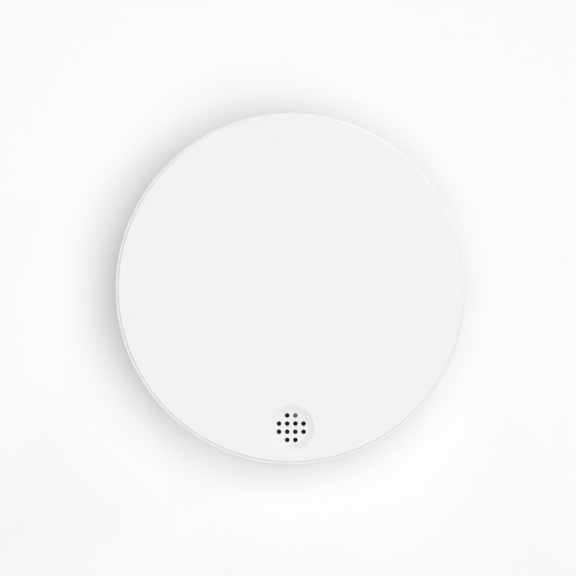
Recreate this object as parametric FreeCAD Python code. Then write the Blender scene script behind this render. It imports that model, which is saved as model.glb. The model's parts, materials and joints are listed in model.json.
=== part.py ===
import FreeCAD, Part
import math
import os

# Round, battery-powered glass break sensor for a wall or ceiling, in millimetres.
# A moulded base is screwed to the wall. It carries the lithium cell, the circuit board and
# the microphone. A plain round cover closes over it: two hooks at 9 o'clock turn in sockets
# in the base, and a spring latch at 3 o'clock holds it shut. The grille is at 6 o'clock.
# Frame: origin at the centre of the back face, +Z out of the wall towards the face,
# +Y up the wall, +X towards the latch.

# Case
COVER_DIAMETER = 86.0
COVER_WALL = 2.1
FACE_WALL = 1.8
FACE_RIM_WIDTH = 0.35       # narrow rim round the face, which stands proud of it
FACE_RIM_DROP = 0.5
FACE_SLOPE_WIDTH = 0.4      # from the face down to the rim
FACE_EDGE_RADIUS = 0.12
FACE_CORNER_RADIUS = 1.0    # inside, between the face and the side
SEAM_GAP = 0.15             # between the cover's edge and the base's rim
PLATE_THICKNESS = 2.5
PLATE_BACK_CHAMFER = 0.6
PLATE_RIM_RADIUS = 0.2
SPIGOT_WALL = 1.5           # ring on the base that centres the cover
SPIGOT_HEIGHT = 3.5
SPIGOT_CLEARANCE = 0.35

# Grille
GRILLE_EDGE_DISTANCE = 8.95  # from the cover's side to the grille's centre
GRILLE_PITCH = 2.0
GRILLE_HOLE_DIAMETER = 1.15
GRILLE_ROWS = (2, 4, 4, 2)   # holes in each row, from the top
DISH_DIAMETER = 11.4
DISH_SLOPE_WIDTH = 1.5
DISH_DEPTH = 0.45

# Index notch and pry slot at 3 o'clock
NOTCH_RADIUS = 0.35
NOTCH_DEPTH = 0.6
PRY_SLOT_WIDTH = 7.0
PRY_SLOT_HEIGHT = 1.0
PRY_SLOT_DEPTH = 1.3

# Hinge at 9 o'clock
HINGE_INSET = 1.6            # axis, in from the cover's side
HINGE_DROP = 0.3             # axis, below the front of the plate
HINGE_PIN_RADIUS = 0.7
HINGE_CLEARANCE = 0.08
HINGE_WINDOW_HEIGHT = 1.35   # cut in the cover's edge, so that it can swing outwards
HINGE_WINDOW_MARGIN = 1.0
HOOK_WIDTH = 4.0
HOOK_SPACING = 9.0
HOOK_SIDE_CLEARANCE = 0.2
HOOK_NECK_OUTER = 0.55       # neck, outwards of the axis
HOOK_NECK_INNER = 0.2        # neck, inwards of the axis
HOOK_NECK_CLEARANCE = 0.1
EAR_WIDTH = 1.3
EAR_HEIGHT = 1.1             # above the axis

# Latch at 3 o'clock
LATCH_WIDTH = 8.0
LATCH_THICKNESS = 0.8
LATCH_FOOT_LENGTH = 5.2
LATCH_FOOT_HEIGHT = 1.2
LATCH_NOSE_HEIGHT = 1.1
LATCH_NOSE_GAP = 0.2         # nose to the cover's side, and to the ledge under it
LEDGE_DEPTH = 0.7
LEDGE_HEIGHT = 1.2
LEDGE_RISE = 1.85            # ledge, above the cover's edge
LATCH_GAP_MARGIN = 2.0       # spigot cut away at each side of the latch
STAKE_RADIUS = 1.0
STAKE_HEAD_RADIUS = 1.6
STAKE_HEAD_HEIGHT = 0.5
SMALL_GAP = 0.05
CUT_MARGIN = 1.0             # a cutting tool, past the face that it starts from

# Wall screws
SLOT_SPACING = 56.0
SLOT_WIDTH = 4.4
SLOT_LENGTH = 7.0
SCREW_PAD_RADIUS = 4.6       # shallow seat for each wall screw's head
SCREW_PAD_DEPTH = 0.4
ADHESIVE_RADIUS = 8.0        # shallow recesses in the back for adhesive pads
ADHESIVE_DEPTH = 0.3
ADHESIVE_SPACING = 44.0
ARROW_SIZE = (5.0, 5.0, 0.3)  # moulded arrow that points up the wall
ARROW_EDGE_DISTANCE = 5.0

# Lithium cell and its cradle
CELL_DIAMETER = 17.0
CELL_LENGTH = 34.5
CELL_CAP_DIAMETER = 6.6
CELL_CAP_HEIGHT = 1.1
CELL_EDGE_RADIUS = 0.6
CELL_FLOOR = 1.4             # plastic left under the cell
CELL_CLEARANCE = 0.15
CELL_HEADROOM = 1.65
CRADLE_WALL = 1.5
CRADLE_RAIL_HEIGHT = 6.0
CRADLE_END_HEIGHT = 12.0
CRADLE_RIM_CLEARANCE = 2.5
SADDLE_HEIGHT = 3.0
SADDLE_SPACING = 11.0
SADDLE_COUNT = 3
CELL_RIB_SPACING = 16.0
CELL_RIB_LENGTH = 10.0
CELL_RIB_WIDTH = 1.2
CELL_RIB_GAP = 0.3
CONTACT_THICKNESS = 0.4
CONTACT_WIDTH = 12.0
CONTACT_TOP = 6.5            # above the cell's axis
CONTACT_LIP_WIDTH = 1.0
CONTACT_LIP_HEIGHT = 6.5
CONTACT_DIMPLE_RADIUS = 2.2
CONTACT_DIMPLE_HEIGHT = 0.5
TAIL_HEIGHT = 2.6
TAIL_OVERLAP = 2.4           # over the board
TAIL_FOOT_WIDTH = 2.4
CELL_SPRING_LENGTH = 4.0
CELL_SPRING_WIRE = 0.7
CELL_SPRING_TURNS = 3
CELL_SPRING_WIDE = 4.2
CELL_SPRING_NARROW = 2.4

# Circuit board
BOARD_THICKNESS = 1.6
BOARD_DROP = 8.2             # from the cover's inner face down to the board's front
BOARD_RIM_CLEARANCE = 2.0
BOARD_CRADLE_GAP = 0.8
BOARD_ACCESS_RADIUS = 4.2    # holes over the wall screws
BOARD_ACCESS_WEB = 1.0       # least board left between such a hole and the straight edge
POST_RADIUS = 2.8
POST_RIM_INSET = 7.9
POST_ANGLE = 45.0
POST_EDGE_INSET = 4.0
SCREW_RADIUS = 1.1
SCREW_HEAD_RADIUS = 2.1
SCREW_HEAD_HEIGHT = 1.3
SCREW_LENGTH = 6.0
SCREW_HOLE_CLEARANCE = 0.15
RIB_WIDTH = 1.2
RIB_HEIGHT = 3.0

# Microphone, its boot, and the acoustic stack on the cover
MESH_THICKNESS = 0.15
GASKET_THICKNESS = 1.25
GASKET_WIDTH = 1.6
GASKET_MARGIN = 0.2          # round the holes and the light pipe
GASKET_GAP = 0.2             # gasket to boot
GASKET_RIM_WALL = 0.9
GASKET_RIM_HEIGHT = 1.0
BOOT_SEAL_WIDTH = 0.6        # boot's rim under the gasket
BOOT_SHELF = 1.0             # under the capsule's rim
CAPSULE_RADIUS = 3.0
CAPSULE_HEIGHT = 4.6
CAPSULE_SET_BACK = 0.3       # below the boot's top
CAPSULE_OFFSET = (-0.6, -1.3)
CAPSULE_LEAD_RADIUS = 0.25
CAPSULE_LEAD_PITCH = 2.5

# Status lamp
LAMP_OFFSET = (1.0, 3.0)     # the hole at the right of the top row
LAMP_SIZE = (2.0, 1.3, 0.8)
PIPE_RADIUS = 1.0
PIPE_TIP_RADIUS = 0.8
PIPE_TIP_LENGTH = 1.2
PIPE_CLEARANCE = 0.1

# Tamper switch
TAMPER_RIM_INSET = 6.7
TAMPER_ANGLE = -24.0
TAMPER_SIZE = (7.0, 7.0, 3.2)
TAMPER_STEM_RADIUS = 0.8
TAMPER_STEM_DEPTH = 1.2      # stem inside the body at rest
TAMPER_HEAD_RADIUS = 1.9
TAMPER_HEAD_HEIGHT = 1.0
TAMPER_SPRING_SPACE = 2.7    # body to head
TAMPER_SPRING_RADIUS = 1.45
TAMPER_SPRING_WIRE = 0.3
TAMPER_SPRING_TURNS = 3
TAMPER_TRAVEL = 0.9
TAMPER_RIB_RADIUS = 1.6

# Test button
BUTTON_PLACE = (16.5, 13.5)  # from the centre line, and down from the board's straight edge
BUTTON_BODY = (6.0, 6.0, 3.5)
BUTTON_RADIUS = 1.7
BUTTON_RISE = 1.5
BUTTON_SEAT = 0.6
BUTTON_TRAVEL = 0.25

# Setting switch with four sliders
DIP_PLACE = (14.5, 6.0)
DIP_SIZE = (11.7, 6.6, 3.0)
DIP_COUNT = 4
DIP_PITCH = 2.54
DIP_SLIDER = (1.2, 1.6, 1.6)
DIP_SLIDER_SEAT = 1.05       # part of the slider's height inside the body
DIP_TRAVEL = 1.5
DIP_CLEARANCE = 0.1

# Parts in the upper group: place (from the centre line, and down from the straight edge), then size
RADIO_CAN = ((-11.3, 7.5), (15.0, 12.0, 2.4))
RADIO_CAN_WALL = 0.25
PROCESSOR = ((9.0, 14.0), (7.0, 7.0, 0.9))
CRYSTAL = ((1.2, 13.5), (2.5, 3.2, 0.8))

# Parts in the lower group: place (from the centre line, and up from the grille's centre), then size
AMPLIFIER = ((-3.0, 12.5), (8.7, 3.9, 1.5))
AMPLIFIER_LEADS = 7          # along each long side
LEAD_PITCH = 1.27
LEAD_WIDTH = 0.42
LEAD_THICKNESS = 0.2
LEAD_REACH = 1.05
CAPACITOR_PLACES = ((10.5, 11.3), (12.8, 5.0))
CAPACITOR_RADIUS = 2.5
CAPACITOR_HEIGHT = 5.4
CAPACITOR_FOOT = (5.3, 5.3, 0.8)
RESISTOR_SIZE = (2.0, 1.25, 0.5)
RESISTOR_GRID = ((-15.5, 12.8), (3.0, 2.4), (3, 3))   # first place, pitch, columns and rows
CERAMIC_SIZE = (1.6, 0.8, 0.8)
CERAMIC_GRID = ((3.2, 13.1), (2.6, 2.2), (2, 4))

# Antenna
ANTENNA_RIM_INSET = 6.5      # first turn, in from the board's rim
ANTENNA_POST_RISE = 5.6      # axis, above the lower screw posts
ANTENNA_RADIUS = 2.4
ANTENNA_WIRE = 0.6
ANTENNA_TURNS = 9.5          # the odd half turn brings both ends down to the board
ANTENNA_PITCH = 1.6
ANTENNA_CLEARANCE = 0.4      # winding to the board

# Levels and radii worked out from the sizes above
cover_r = COVER_DIAMETER / 2
cover_inner_r = cover_r - COVER_WALL
spigot_r = cover_inner_r - SPIGOT_CLEARANCE
spigot_inner_r = spigot_r - SPIGOT_WALL
cover_edge_z = PLATE_THICKNESS + SEAM_GAP
cell_z = CELL_FLOOR + CELL_CLEARANCE + CELL_DIAMETER / 2
cell_top_z = cell_z + CELL_DIAMETER / 2
inner_face_z = cell_top_z + CELL_HEADROOM
case_depth = inner_face_z + FACE_WALL
cell_bore_r = CELL_DIAMETER / 2 + CELL_CLEARANCE
cradle_half_width = cell_bore_r + CRADLE_WALL
bay_half = (CELL_LENGTH + CELL_SPRING_LENGTH) / 2 + CONTACT_THICKNESS + 2 * SMALL_GAP
cradle_half_length = bay_half + CRADLE_WALL
cell_y = math.sqrt((spigot_inner_r - CRADLE_RIM_CLEARANCE) ** 2 - cradle_half_length**2) - cradle_half_width
cell_tip_x = bay_half - SMALL_GAP - CONTACT_THICKNESS - SMALL_GAP
cell_back_x = cell_tip_x - CELL_LENGTH
cell_front_x = cell_tip_x - CELL_CAP_HEIGHT
board_r = cover_inner_r - BOARD_RIM_CLEARANCE
board_edge_y = cell_y - cradle_half_width - BOARD_CRADLE_GAP
slot_y = min(0.0, board_edge_y - BOARD_ACCESS_RADIUS - BOARD_ACCESS_WEB)
board_z = inner_face_z - BOARD_DROP
board_back_z = board_z - BOARD_THICKNESS
hinge_x = -(cover_r - HINGE_INSET)
hinge_z = PLATE_THICKNESS - HINGE_DROP
hinge_window_half = math.sqrt(cover_r**2 - hinge_x**2) + HINGE_WINDOW_MARGIN
grille_y = -(cover_r - GRILLE_EDGE_DISTANCE)
lamp_reach = math.hypot(*LAMP_OFFSET)
gasket_bore_r = lamp_reach + PIPE_RADIUS + GASKET_MARGIN
mesh_r = gasket_bore_r + GASKET_WIDTH
flat_face_r = cover_inner_r - FACE_CORNER_RADIUS - SMALL_GAP
boot_r = gasket_bore_r + BOOT_SEAL_WIDTH
gasket_z = inner_face_z - MESH_THICKNESS - GASKET_THICKNESS
boot_top_z = gasket_z - GASKET_GAP
capsule_top_z = boot_top_z - CAPSULE_SET_BACK
capsule_z = capsule_top_z - CAPSULE_HEIGHT
ledge_z = cover_edge_z + LEDGE_RISE
ledge_top_z = ledge_z + LEDGE_HEIGHT
ledge_chord_x = math.sqrt((cover_inner_r - LEDGE_DEPTH) ** 2 - (LATCH_WIDTH / 2) ** 2)
latch_leg_x = ledge_chord_x - LATCH_NOSE_GAP
tamper_r = board_r - TAMPER_RIM_INSET
tamper_x = tamper_r * math.cos(math.radians(TAMPER_ANGLE))
tamper_y = tamper_r * math.sin(math.radians(TAMPER_ANGLE))
tamper_body_z = board_z + TAMPER_SIZE[2]
tamper_head_z = tamper_body_z + TAMPER_SPRING_SPACE
tamper_top_z = tamper_head_z + TAMPER_HEAD_HEIGHT

V = FreeCAD.Vector


def block(x0, x1, y0, y1, z0, z1):
    """Box between two corners."""
    return Part.makeBox(x1 - x0, y1 - y0, z1 - z0, V(x0, y0, z0))


def seat(place, size, z=board_z):
    """Box of the given size, centred on a place of the board, standing on the level z."""
    x, y = place
    return block(x - size[0] / 2, x + size[0] / 2, y - size[1] / 2, y + size[1] / 2, z, z + size[2])


def rod(radius, z0, z1, x=0.0, y=0.0):
    """Upright cylinder."""
    return Part.makeCylinder(radius, z1 - z0, V(x, y, z0))


def rod_along_x(radius, x0, x1, y, z):
    """Cylinder lying along X."""
    return Part.makeCylinder(radius, x1 - x0, V(x0, y, z), V(1, 0, 0))


def rod_along_y(radius, y0, y1, x, z):
    """Cylinder lying along Y."""
    return Part.makeCylinder(radius, y1 - y0, V(x, y0, z), V(0, 1, 0))


def ring(outer, inner, z0, z1, x=0.0, y=0.0):
    """Upright tube."""
    return rod(outer, z0, z1, x, y).cut(rod(inner, z0, z1, x, y))


def revolved(points):
    """Solid turned about Z from a profile of (radius, z) points."""
    corners = [V(r, 0, z) for r, z in points]
    face = Part.Face(Part.makePolygon(corners + corners[:1]))
    return face.revolve(V(0, 0, 0), V(0, 0, 1), 360)


def extruded(points, z0, z1):
    """Solid raised along Z from an outline of (x, y) points."""
    corners = [V(x, y, z0) for x, y in points]
    return Part.Face(Part.makePolygon(corners + corners[:1])).extrude(V(0, 0, z1 - z0))


def edges_at(shape, z, radius=None):
    """Edges that lie wholly on a level, and have a given radius where one is named."""
    found = []
    for edge in shape.Edges:
        box = edge.BoundBox
        flat = abs(box.ZMin - z) < 1e-4 and abs(box.ZMax - z) < 1e-4
        round_enough = radius is None or (
            isinstance(edge.Curve, Part.Circle) and abs(edge.Curve.Radius - radius) < 1e-4
        )
        if flat and round_enough:
            found.append(edge)
    return found


def softened(shape, radius, z, edge_radius=None):
    """Shape with its edges on a level rounded."""
    return shape.makeFillet(radius, edges_at(shape, z, edge_radius))


def fused(first, *others):
    """One solid from several that touch."""
    return first.fuse(list(others)).removeSplitter()


def board_place(spot):
    """Place on the board, from (distance from the centre line, distance down from the straight edge)."""
    return spot[0], board_edge_y - spot[1]


def grille_place(spot):
    """Place on the board, from (distance from the centre line, distance up from the grille's centre)."""
    return spot[0], grille_y + spot[1]


def grid_places(grid):
    """Places of parts that stand in columns and rows above the grille's centre."""
    (x, up), (pitch_x, pitch_y), (columns, rows) = grid
    return [
        grille_place((x + pitch_x * column, up - pitch_y * row))
        for row in range(rows)
        for column in range(columns)
    ]


def arc_between(start, corner, end):
    """Arc from start to end, tangent to the lines that meet at the corner."""
    middle = (start + end) * 0.5
    half_chord = (end - start).Length / 2
    turn = math.acos(min(1.0, half_chord / (corner - start).Length))
    rise = (corner - middle).normalize() * (half_chord * math.tan(turn / 2))
    return Part.Arc(start, middle + rise, end).toShape()


def biarc(start, start_way, end, end_way):
    """Two arcs from start to end that leave and arrive in the given directions."""
    span = end - start
    ways = start_way + end_way
    a = 2 * (1 - start_way.dot(end_way))
    b = 2 * span.dot(ways)
    c = -span.dot(span)
    reach = (-b + math.sqrt(b * b - 4 * a * c)) / (2 * a)
    first = start + start_way * reach
    second = end - end_way * reach
    joint = (first + second) * 0.5
    return [arc_between(start, first, joint), arc_between(joint, second, end)]


def coil_point(turn, turns, start_r, end_r, length):
    """Point and direction on a coil that winds about X, from x = 0, its radius changing steadily."""
    angle = 2 * math.pi * turn
    slope_r = (end_r - start_r) / turns
    radius = start_r + slope_r * turn
    point = V(length * turn / turns, radius * math.cos(angle), radius * math.sin(angle))
    way = V(
        length / turns,
        slope_r * math.cos(angle) - 2 * math.pi * radius * math.sin(angle),
        slope_r * math.sin(angle) + 2 * math.pi * radius * math.cos(angle),
    )
    return point, way.normalize()


def coil(turns, start_r, end_r, length, wire, name, leg=0.0):
    """Round wire wound about X as one unbroken tube, its centre line running from x = 0 to the length."""
    steps = round(turns * 4)
    stations = [coil_point(i / 4, turns, start_r, end_r, length) for i in range(steps + 1)]
    edges = []
    for (start, start_way), (end, end_way) in zip(stations, stations[1:]):
        edges += biarc(start, start_way, end, end_way)
    start, start_way = stations[0]
    if leg:
        end, end_way = stations[-1]
        edges.insert(0, Part.makeLine(start - start_way * leg, start))
        edges.append(Part.makeLine(end, end + end_way * leg))
        start = start - start_way * leg
    circle = Part.Wire(Part.Circle(start, start_way, wire / 2).toShape())
    sweep = Part.BRepOffsetAPI.MakePipeShell(Part.Wire(edges))
    sweep.add(circle)
    sweep.build()
    sweep.makeSolid()
    print(f"{name}: least gap to itself {coil_gap(turns, start_r, end_r, length, wire, leg):.2f} mm")
    return sweep.shape()


def coil_gap(turns, start_r, end_r, length, wire, leg):
    """Least distance between points at least half a turn apart, less the wire's thickness."""
    turn_count = 48
    leg_count = 8
    count = round(turns * turn_count)
    stations = [coil_point(i / turn_count, turns, start_r, end_r, length) for i in range(count + 1)]
    start, start_way = stations[0]
    end, end_way = stations[-1]
    points = [start - start_way * (leg * (leg_count - i) / leg_count) for i in range(leg_count)]
    points += [point for point, _ in stations]
    points += [end + end_way * (leg * (i + 1) / leg_count) for i in range(leg_count)]
    least = min(
        (points[j] - points[i]).Length
        for i in range(len(points))
        for j in range(i + turn_count // 2, len(points))
    )
    return least - wire


def save(name, *solids):
    """Writes one sub-part."""
    shape = solids[0] if len(solids) == 1 else Part.makeCompound(list(solids))
    shape.exportStep(f"parts/{name}.step")


def grille_places():
    """Centres of the grille's holes, row by row from the top."""
    places = []
    top = (len(GRILLE_ROWS) - 1) / 2
    for row, count in enumerate(GRILLE_ROWS):
        y = grille_y + (top - row) * GRILLE_PITCH
        for column in range(count):
            places.append(((column - (count - 1) / 2) * GRILLE_PITCH, y))
    return places


def hook_ranges(clearance=0.0):
    """Y range of each hinge hook."""
    half = HOOK_WIDTH / 2 + clearance
    return [(side * HOOK_SPACING / 2 - half, side * HOOK_SPACING / 2 + half) for side in (-1, 1)]


def post_places():
    """Centres of the board's three screw posts."""
    r = board_r - POST_RIM_INSET
    x = r * math.sin(math.radians(POST_ANGLE))
    y = -r * math.cos(math.radians(POST_ANGLE))
    return [(-x, y), (x, y), (0.0, board_edge_y - POST_EDGE_INSET)]


def slot_cutter(side):
    """Round-ended slot along X through the plate, centred on a wall screw."""
    x = side * SLOT_SPACING / 2
    radius = SLOT_WIDTH / 2
    run = SLOT_LENGTH / 2 - radius
    ends = [rod(radius, 0, PLATE_THICKNESS, end, slot_y) for end in (x - run, x + run)]
    middle = block(x - run, x + run, slot_y - radius, slot_y + radius, 0, PLATE_THICKNESS)
    return fused(middle, *ends)


def up_arrow():
    """Arrow sunk into the back: a triangle on a short stem."""
    width, height, depth = ARROW_SIZE
    top = cover_r - ARROW_EDGE_DISTANCE
    middle = top - height / 2
    stem = width / 6
    outline = [(0, top), (width / 2, middle), (stem, middle), (stem, top - height),
               (-stem, top - height), (-stem, middle), (-width / 2, middle)]
    return extruded(outline, 0, depth)


def cover_shell():
    """Plain cup with a flat face that stands a little proud of the rim round it."""
    rim_z = case_depth - FACE_RIM_DROP
    slope_r = cover_r - FACE_RIM_WIDTH
    face_r = slope_r - FACE_SLOPE_WIDTH
    outer = revolved([(0, cover_edge_z), (cover_r, cover_edge_z), (cover_r, rim_z), (slope_r, rim_z),
                      (face_r, case_depth), (0, case_depth)])
    outer = softened(outer, FACE_EDGE_RADIUS, rim_z, cover_r)
    outer = softened(outer, FACE_EDGE_RADIUS, case_depth)
    inner = rod(cover_inner_r, cover_edge_z - CUT_MARGIN, inner_face_z)
    return outer.cut(softened(inner, FACE_CORNER_RADIUS, inner_face_z))


def grille_dish():
    """Shallow dish with a sloping side, cut into the face round the holes."""
    top_r = DISH_DIAMETER / 2
    floor_r = top_r - DISH_SLOPE_WIDTH
    over = case_depth + CUT_MARGIN
    profile = [(0, case_depth - DISH_DEPTH), (floor_r, case_depth - DISH_DEPTH), (top_r, case_depth)]
    dish = revolved(profile + [(top_r, over), (0, over)])
    dish.translate(V(0, grille_y, 0))
    return dish


def latch_ledge():
    """Inward ledge that the latch's nose holds, with a sloping underside to press the nose in."""
    r = cover_inner_r - LEDGE_DEPTH
    out = cover_inner_r + COVER_WALL / 2
    turned = revolved([(r, ledge_z), (r, ledge_top_z), (out, ledge_top_z), (out, ledge_z - LEDGE_DEPTH)])
    half = LATCH_WIDTH / 2
    return turned.common(block(0, cover_r, -half, half, 0, case_depth))


def hinge_hooks():
    """Neck and round bead of each hook, the bead on the hinge's axis."""
    hooks = []
    for y0, y1 in hook_ranges():
        top = cover_edge_z + HINGE_WINDOW_HEIGHT + COVER_WALL / 4
        neck = block(hinge_x - HOOK_NECK_OUTER, hinge_x + HOOK_NECK_INNER, y0, y1, hinge_z, top)
        hooks.append(fused(neck, rod_along_y(HINGE_PIN_RADIUS, y0, y1, hinge_x, hinge_z)))
    return hooks


def make_front_cover():
    shell = cover_shell()
    window = block(-cover_r, 0, -hinge_window_half, hinge_window_half, 0,
                   cover_edge_z + HINGE_WINDOW_HEIGHT)
    notch_x = cover_r - NOTCH_DEPTH + NOTCH_RADIUS
    over = case_depth + CUT_MARGIN
    notch = fused(rod(NOTCH_RADIUS, 0, over, notch_x, 0),
                  block(notch_x, cover_r, -NOTCH_RADIUS, NOTCH_RADIUS, 0, over))
    pry = block(cover_r - PRY_SLOT_DEPTH, cover_r, -PRY_SLOT_WIDTH / 2, PRY_SLOT_WIDTH / 2, 0,
                cover_edge_z + PRY_SLOT_HEIGHT)
    shell = shell.cut([window, notch, pry])
    rim = ring(mesh_r + SMALL_GAP + GASKET_RIM_WALL, mesh_r + SMALL_GAP,
               inner_face_z - GASKET_RIM_HEIGHT, inner_face_z, 0, grille_y)
    rim = rim.common(rod(flat_face_r, 0, case_depth))
    tamper_rib = rod(TAMPER_RIB_RADIUS, tamper_top_z + SMALL_GAP, inner_face_z, tamper_x, tamper_y)
    cell_ribs = [
        seat((side * CELL_RIB_SPACING / 2, cell_y),
             (CELL_RIB_WIDTH, CELL_RIB_LENGTH, inner_face_z - cell_top_z - CELL_RIB_GAP),
             cell_top_z + CELL_RIB_GAP)
        for side in (-1, 1)
    ]
    shell = fused(shell, rim, tamper_rib, latch_ledge(), *cell_ribs, *hinge_hooks())
    r = GRILLE_HOLE_DIAMETER / 2
    holes = [rod(r, inner_face_z - CUT_MARGIN, over, x, y) for x, y in grille_places()]
    save("front_cover", shell.cut([grille_dish()] + holes))


def cradle_walls():
    """Rails, end walls and saddles that hold the cell, before its bore is cut."""
    z = PLATE_THICKNESS
    half_w = cradle_half_width
    half_l = cradle_half_length
    walls = []
    for side in (-1, 1):
        y = cell_y + side * (half_w - CRADLE_WALL / 2)
        rail = (2 * half_l, CRADLE_WALL, CRADLE_RAIL_HEIGHT)
        walls.append(seat((0, y), rail, z))
        x = side * (half_l - CRADLE_WALL / 2)
        walls.append(seat((x, cell_y), (CRADLE_WALL, CONTACT_WIDTH, CRADLE_END_HEIGHT), z))
        walls.append(seat((x, cell_y), (CRADLE_WALL, 2 * half_w, CRADLE_RAIL_HEIGHT), z))
    for i in range(SADDLE_COUNT):
        x = (i - (SADDLE_COUNT - 1) / 2) * SADDLE_SPACING
        walls.append(seat((x, cell_y), (CRADLE_WALL, 2 * half_w, SADDLE_HEIGHT), z))
    return walls


def contact_lips():
    """Lips in front of each contact plate's edges, and the slots that the plates stand in."""
    lips = []
    slots = []
    depth = CONTACT_THICKNESS + 2 * SMALL_GAP
    for side in (-1, 1):
        for edge in (-1, 1):
            y = cell_y + edge * (CONTACT_WIDTH / 2)
            x0, x1 = sorted((side * bay_half, side * (bay_half - depth - CRADLE_WALL / 2)))
            lips.append(block(x0, x1, y - CONTACT_LIP_WIDTH, y + CONTACT_LIP_WIDTH,
                              PLATE_THICKNESS, PLATE_THICKNESS + CONTACT_LIP_HEIGHT))
        x0, x1 = sorted((side * bay_half, side * (bay_half - depth)))
        half = CONTACT_WIDTH / 2 + SMALL_GAP
        slots.append(block(x0, x1, cell_y - half, cell_y + half, PLATE_THICKNESS, case_depth))
    return lips, slots


def base_plate():
    """Round plate, its back edge bevelled and its rim rounded."""
    plate = rod(cover_r, 0, PLATE_THICKNESS)
    plate = plate.makeChamfer(PLATE_BACK_CHAMFER, edges_at(plate, 0))
    return softened(plate, PLATE_RIM_RADIUS, PLATE_THICKNESS)


def floor_ribs():
    """Ribs from the lower screw posts towards the spigot and to each other, under the board."""
    z0, z1 = PLATE_THICKNESS, PLATE_THICKNESS + RIB_HEIGHT
    (left, y), (right, _), _ = post_places()
    ribs = [block(left, right, y - RIB_WIDTH / 2, y + RIB_WIDTH / 2, z0, z1)]
    for x in (left, 0.0, right):
        ribs.append(block(x - RIB_WIDTH / 2, x + RIB_WIDTH / 2, -spigot_r, y, z0, z1))
    inside = rod(spigot_inner_r - SMALL_GAP, z0, z1)
    return [rib.common(inside) for rib in ribs]


def cell_bore():
    """Room for the cell, from the negative contact to the positive cap."""
    return rod_along_x(cell_bore_r, -bay_half, cell_front_x + SMALL_GAP, cell_y, cell_z)


def hinge_ears():
    """Ears on the plate, inwards of each hook, that keep its bead in the socket."""
    x = hinge_x + HOOK_NECK_INNER
    return [
        block(x + HOOK_NECK_CLEARANCE, x + EAR_WIDTH, y0, y1, 0, hinge_z + EAR_HEIGHT)
        for y0, y1 in hook_ranges()
    ]


def make_mounting_base():
    z = PLATE_THICKNESS
    posts = [rod(POST_RADIUS, z, board_back_z, x, y) for x, y in post_places()]
    stake_x = latch_foot_x()
    stake_top = z + LATCH_FOOT_HEIGHT + SMALL_GAP
    stake = fused(rod(STAKE_RADIUS, z, stake_top + STAKE_HEAD_HEIGHT, stake_x, 0),
                  rod(STAKE_HEAD_RADIUS, stake_top, stake_top + STAKE_HEAD_HEIGHT, stake_x, 0))
    base = fused(base_plate(), stake, *posts, *hinge_ears(), *floor_ribs())
    cuts = [cell_bore(), up_arrow()]
    for y0, y1 in hook_ranges(HOOK_SIDE_CLEARANCE):
        cuts.append(rod_along_y(HINGE_PIN_RADIUS + HINGE_CLEARANCE, y0, y1, hinge_x, hinge_z))
        cuts.append(block(-cover_r, hinge_x + HOOK_NECK_INNER + HOOK_NECK_CLEARANCE, y0, y1,
                          hinge_z - HOOK_NECK_OUTER, case_depth))
    for x, y in post_places():
        depth = SCREW_LENGTH - BOARD_THICKNESS + SCREW_HOLE_CLEARANCE
        cuts.append(rod(SCREW_RADIUS + SMALL_GAP, board_back_z - depth, board_back_z, x, y))
    for side in (-1, 1):
        cuts.append(slot_cutter(side))
        cuts.append(rod(SCREW_PAD_RADIUS, z - SCREW_PAD_DEPTH, z, side * SLOT_SPACING / 2, slot_y))
        cuts.append(rod(ADHESIVE_RADIUS, 0, ADHESIVE_DEPTH, 0, side * ADHESIVE_SPACING / 2))
    save("mounting_base", base.cut(cuts))


def make_base_spigot():
    """Ring moulded on the plate, open where the latch stands."""
    z = PLATE_THICKNESS
    latch_half = LATCH_WIDTH / 2 + LATCH_GAP_MARGIN
    spigot = ring(spigot_r, spigot_inner_r, z, z + SPIGOT_HEIGHT)
    gap = block(0, cover_r, -latch_half, latch_half, z, case_depth)
    save("base_spigot", spigot.cut([gap, *hinge_ears()]))


def make_cell_cradle():
    """Cradle moulded on the plate, with slots for the contact plates."""
    lips, contact_slots = contact_lips()
    save("cell_cradle", fused(*cradle_walls(), *lips).cut([cell_bore(), *contact_slots]))


def latch_foot_x():
    """Centre of the stake that holds the latch's foot."""
    return latch_leg_x - LATCH_THICKNESS - LATCH_FOOT_LENGTH / 2


def make_cover_latch():
    """Foot, upright spring leg, and nose that stands over the cover's ledge."""
    z = PLATE_THICKNESS
    half = LATCH_WIDTH / 2
    leg_in = latch_leg_x - LATCH_THICKNESS
    nose_z = ledge_top_z + LATCH_NOSE_GAP
    nose_top = nose_z + LATCH_NOSE_HEIGHT
    foot = block(leg_in - LATCH_FOOT_LENGTH, latch_leg_x, -half, half, z, z + LATCH_FOOT_HEIGHT)
    leg = block(leg_in, latch_leg_x, -half, half, z, nose_top)
    tip = cover_inner_r - LATCH_NOSE_GAP
    corners = [(latch_leg_x, nose_z), (tip, nose_z), (tip, nose_z + LATCH_NOSE_GAP), (latch_leg_x, nose_top)]
    face = Part.Face(Part.makePolygon([V(x, -half, h) for x, h in corners + corners[:1]]))
    nose = face.extrude(V(0, LATCH_WIDTH, 0))
    nose = nose.common(rod(tip, 0, case_depth))
    latch = fused(foot, leg, nose)
    save("cover_latch", latch.cut(rod(STAKE_RADIUS + SMALL_GAP, z, z + LATCH_FOOT_HEIGHT, latch_foot_x(), 0)))


def make_cell():
    can = rod_along_x(CELL_DIAMETER / 2, cell_back_x, cell_front_x, cell_y, cell_z)
    rims = [e for e in can.Edges if isinstance(e.Curve, Part.Circle)]
    save("battery_cell", can.makeFillet(CELL_EDGE_RADIUS, rims))
    cap = rod_along_x(CELL_CAP_DIAMETER / 2, cell_front_x, cell_tip_x, cell_y, cell_z)
    rim = [e for e in cap.Edges if e.BoundBox.XMin > cell_tip_x - SMALL_GAP]
    save("battery_positive_cap", cap.makeFillet(CELL_CAP_HEIGHT / 3, rim))


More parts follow.
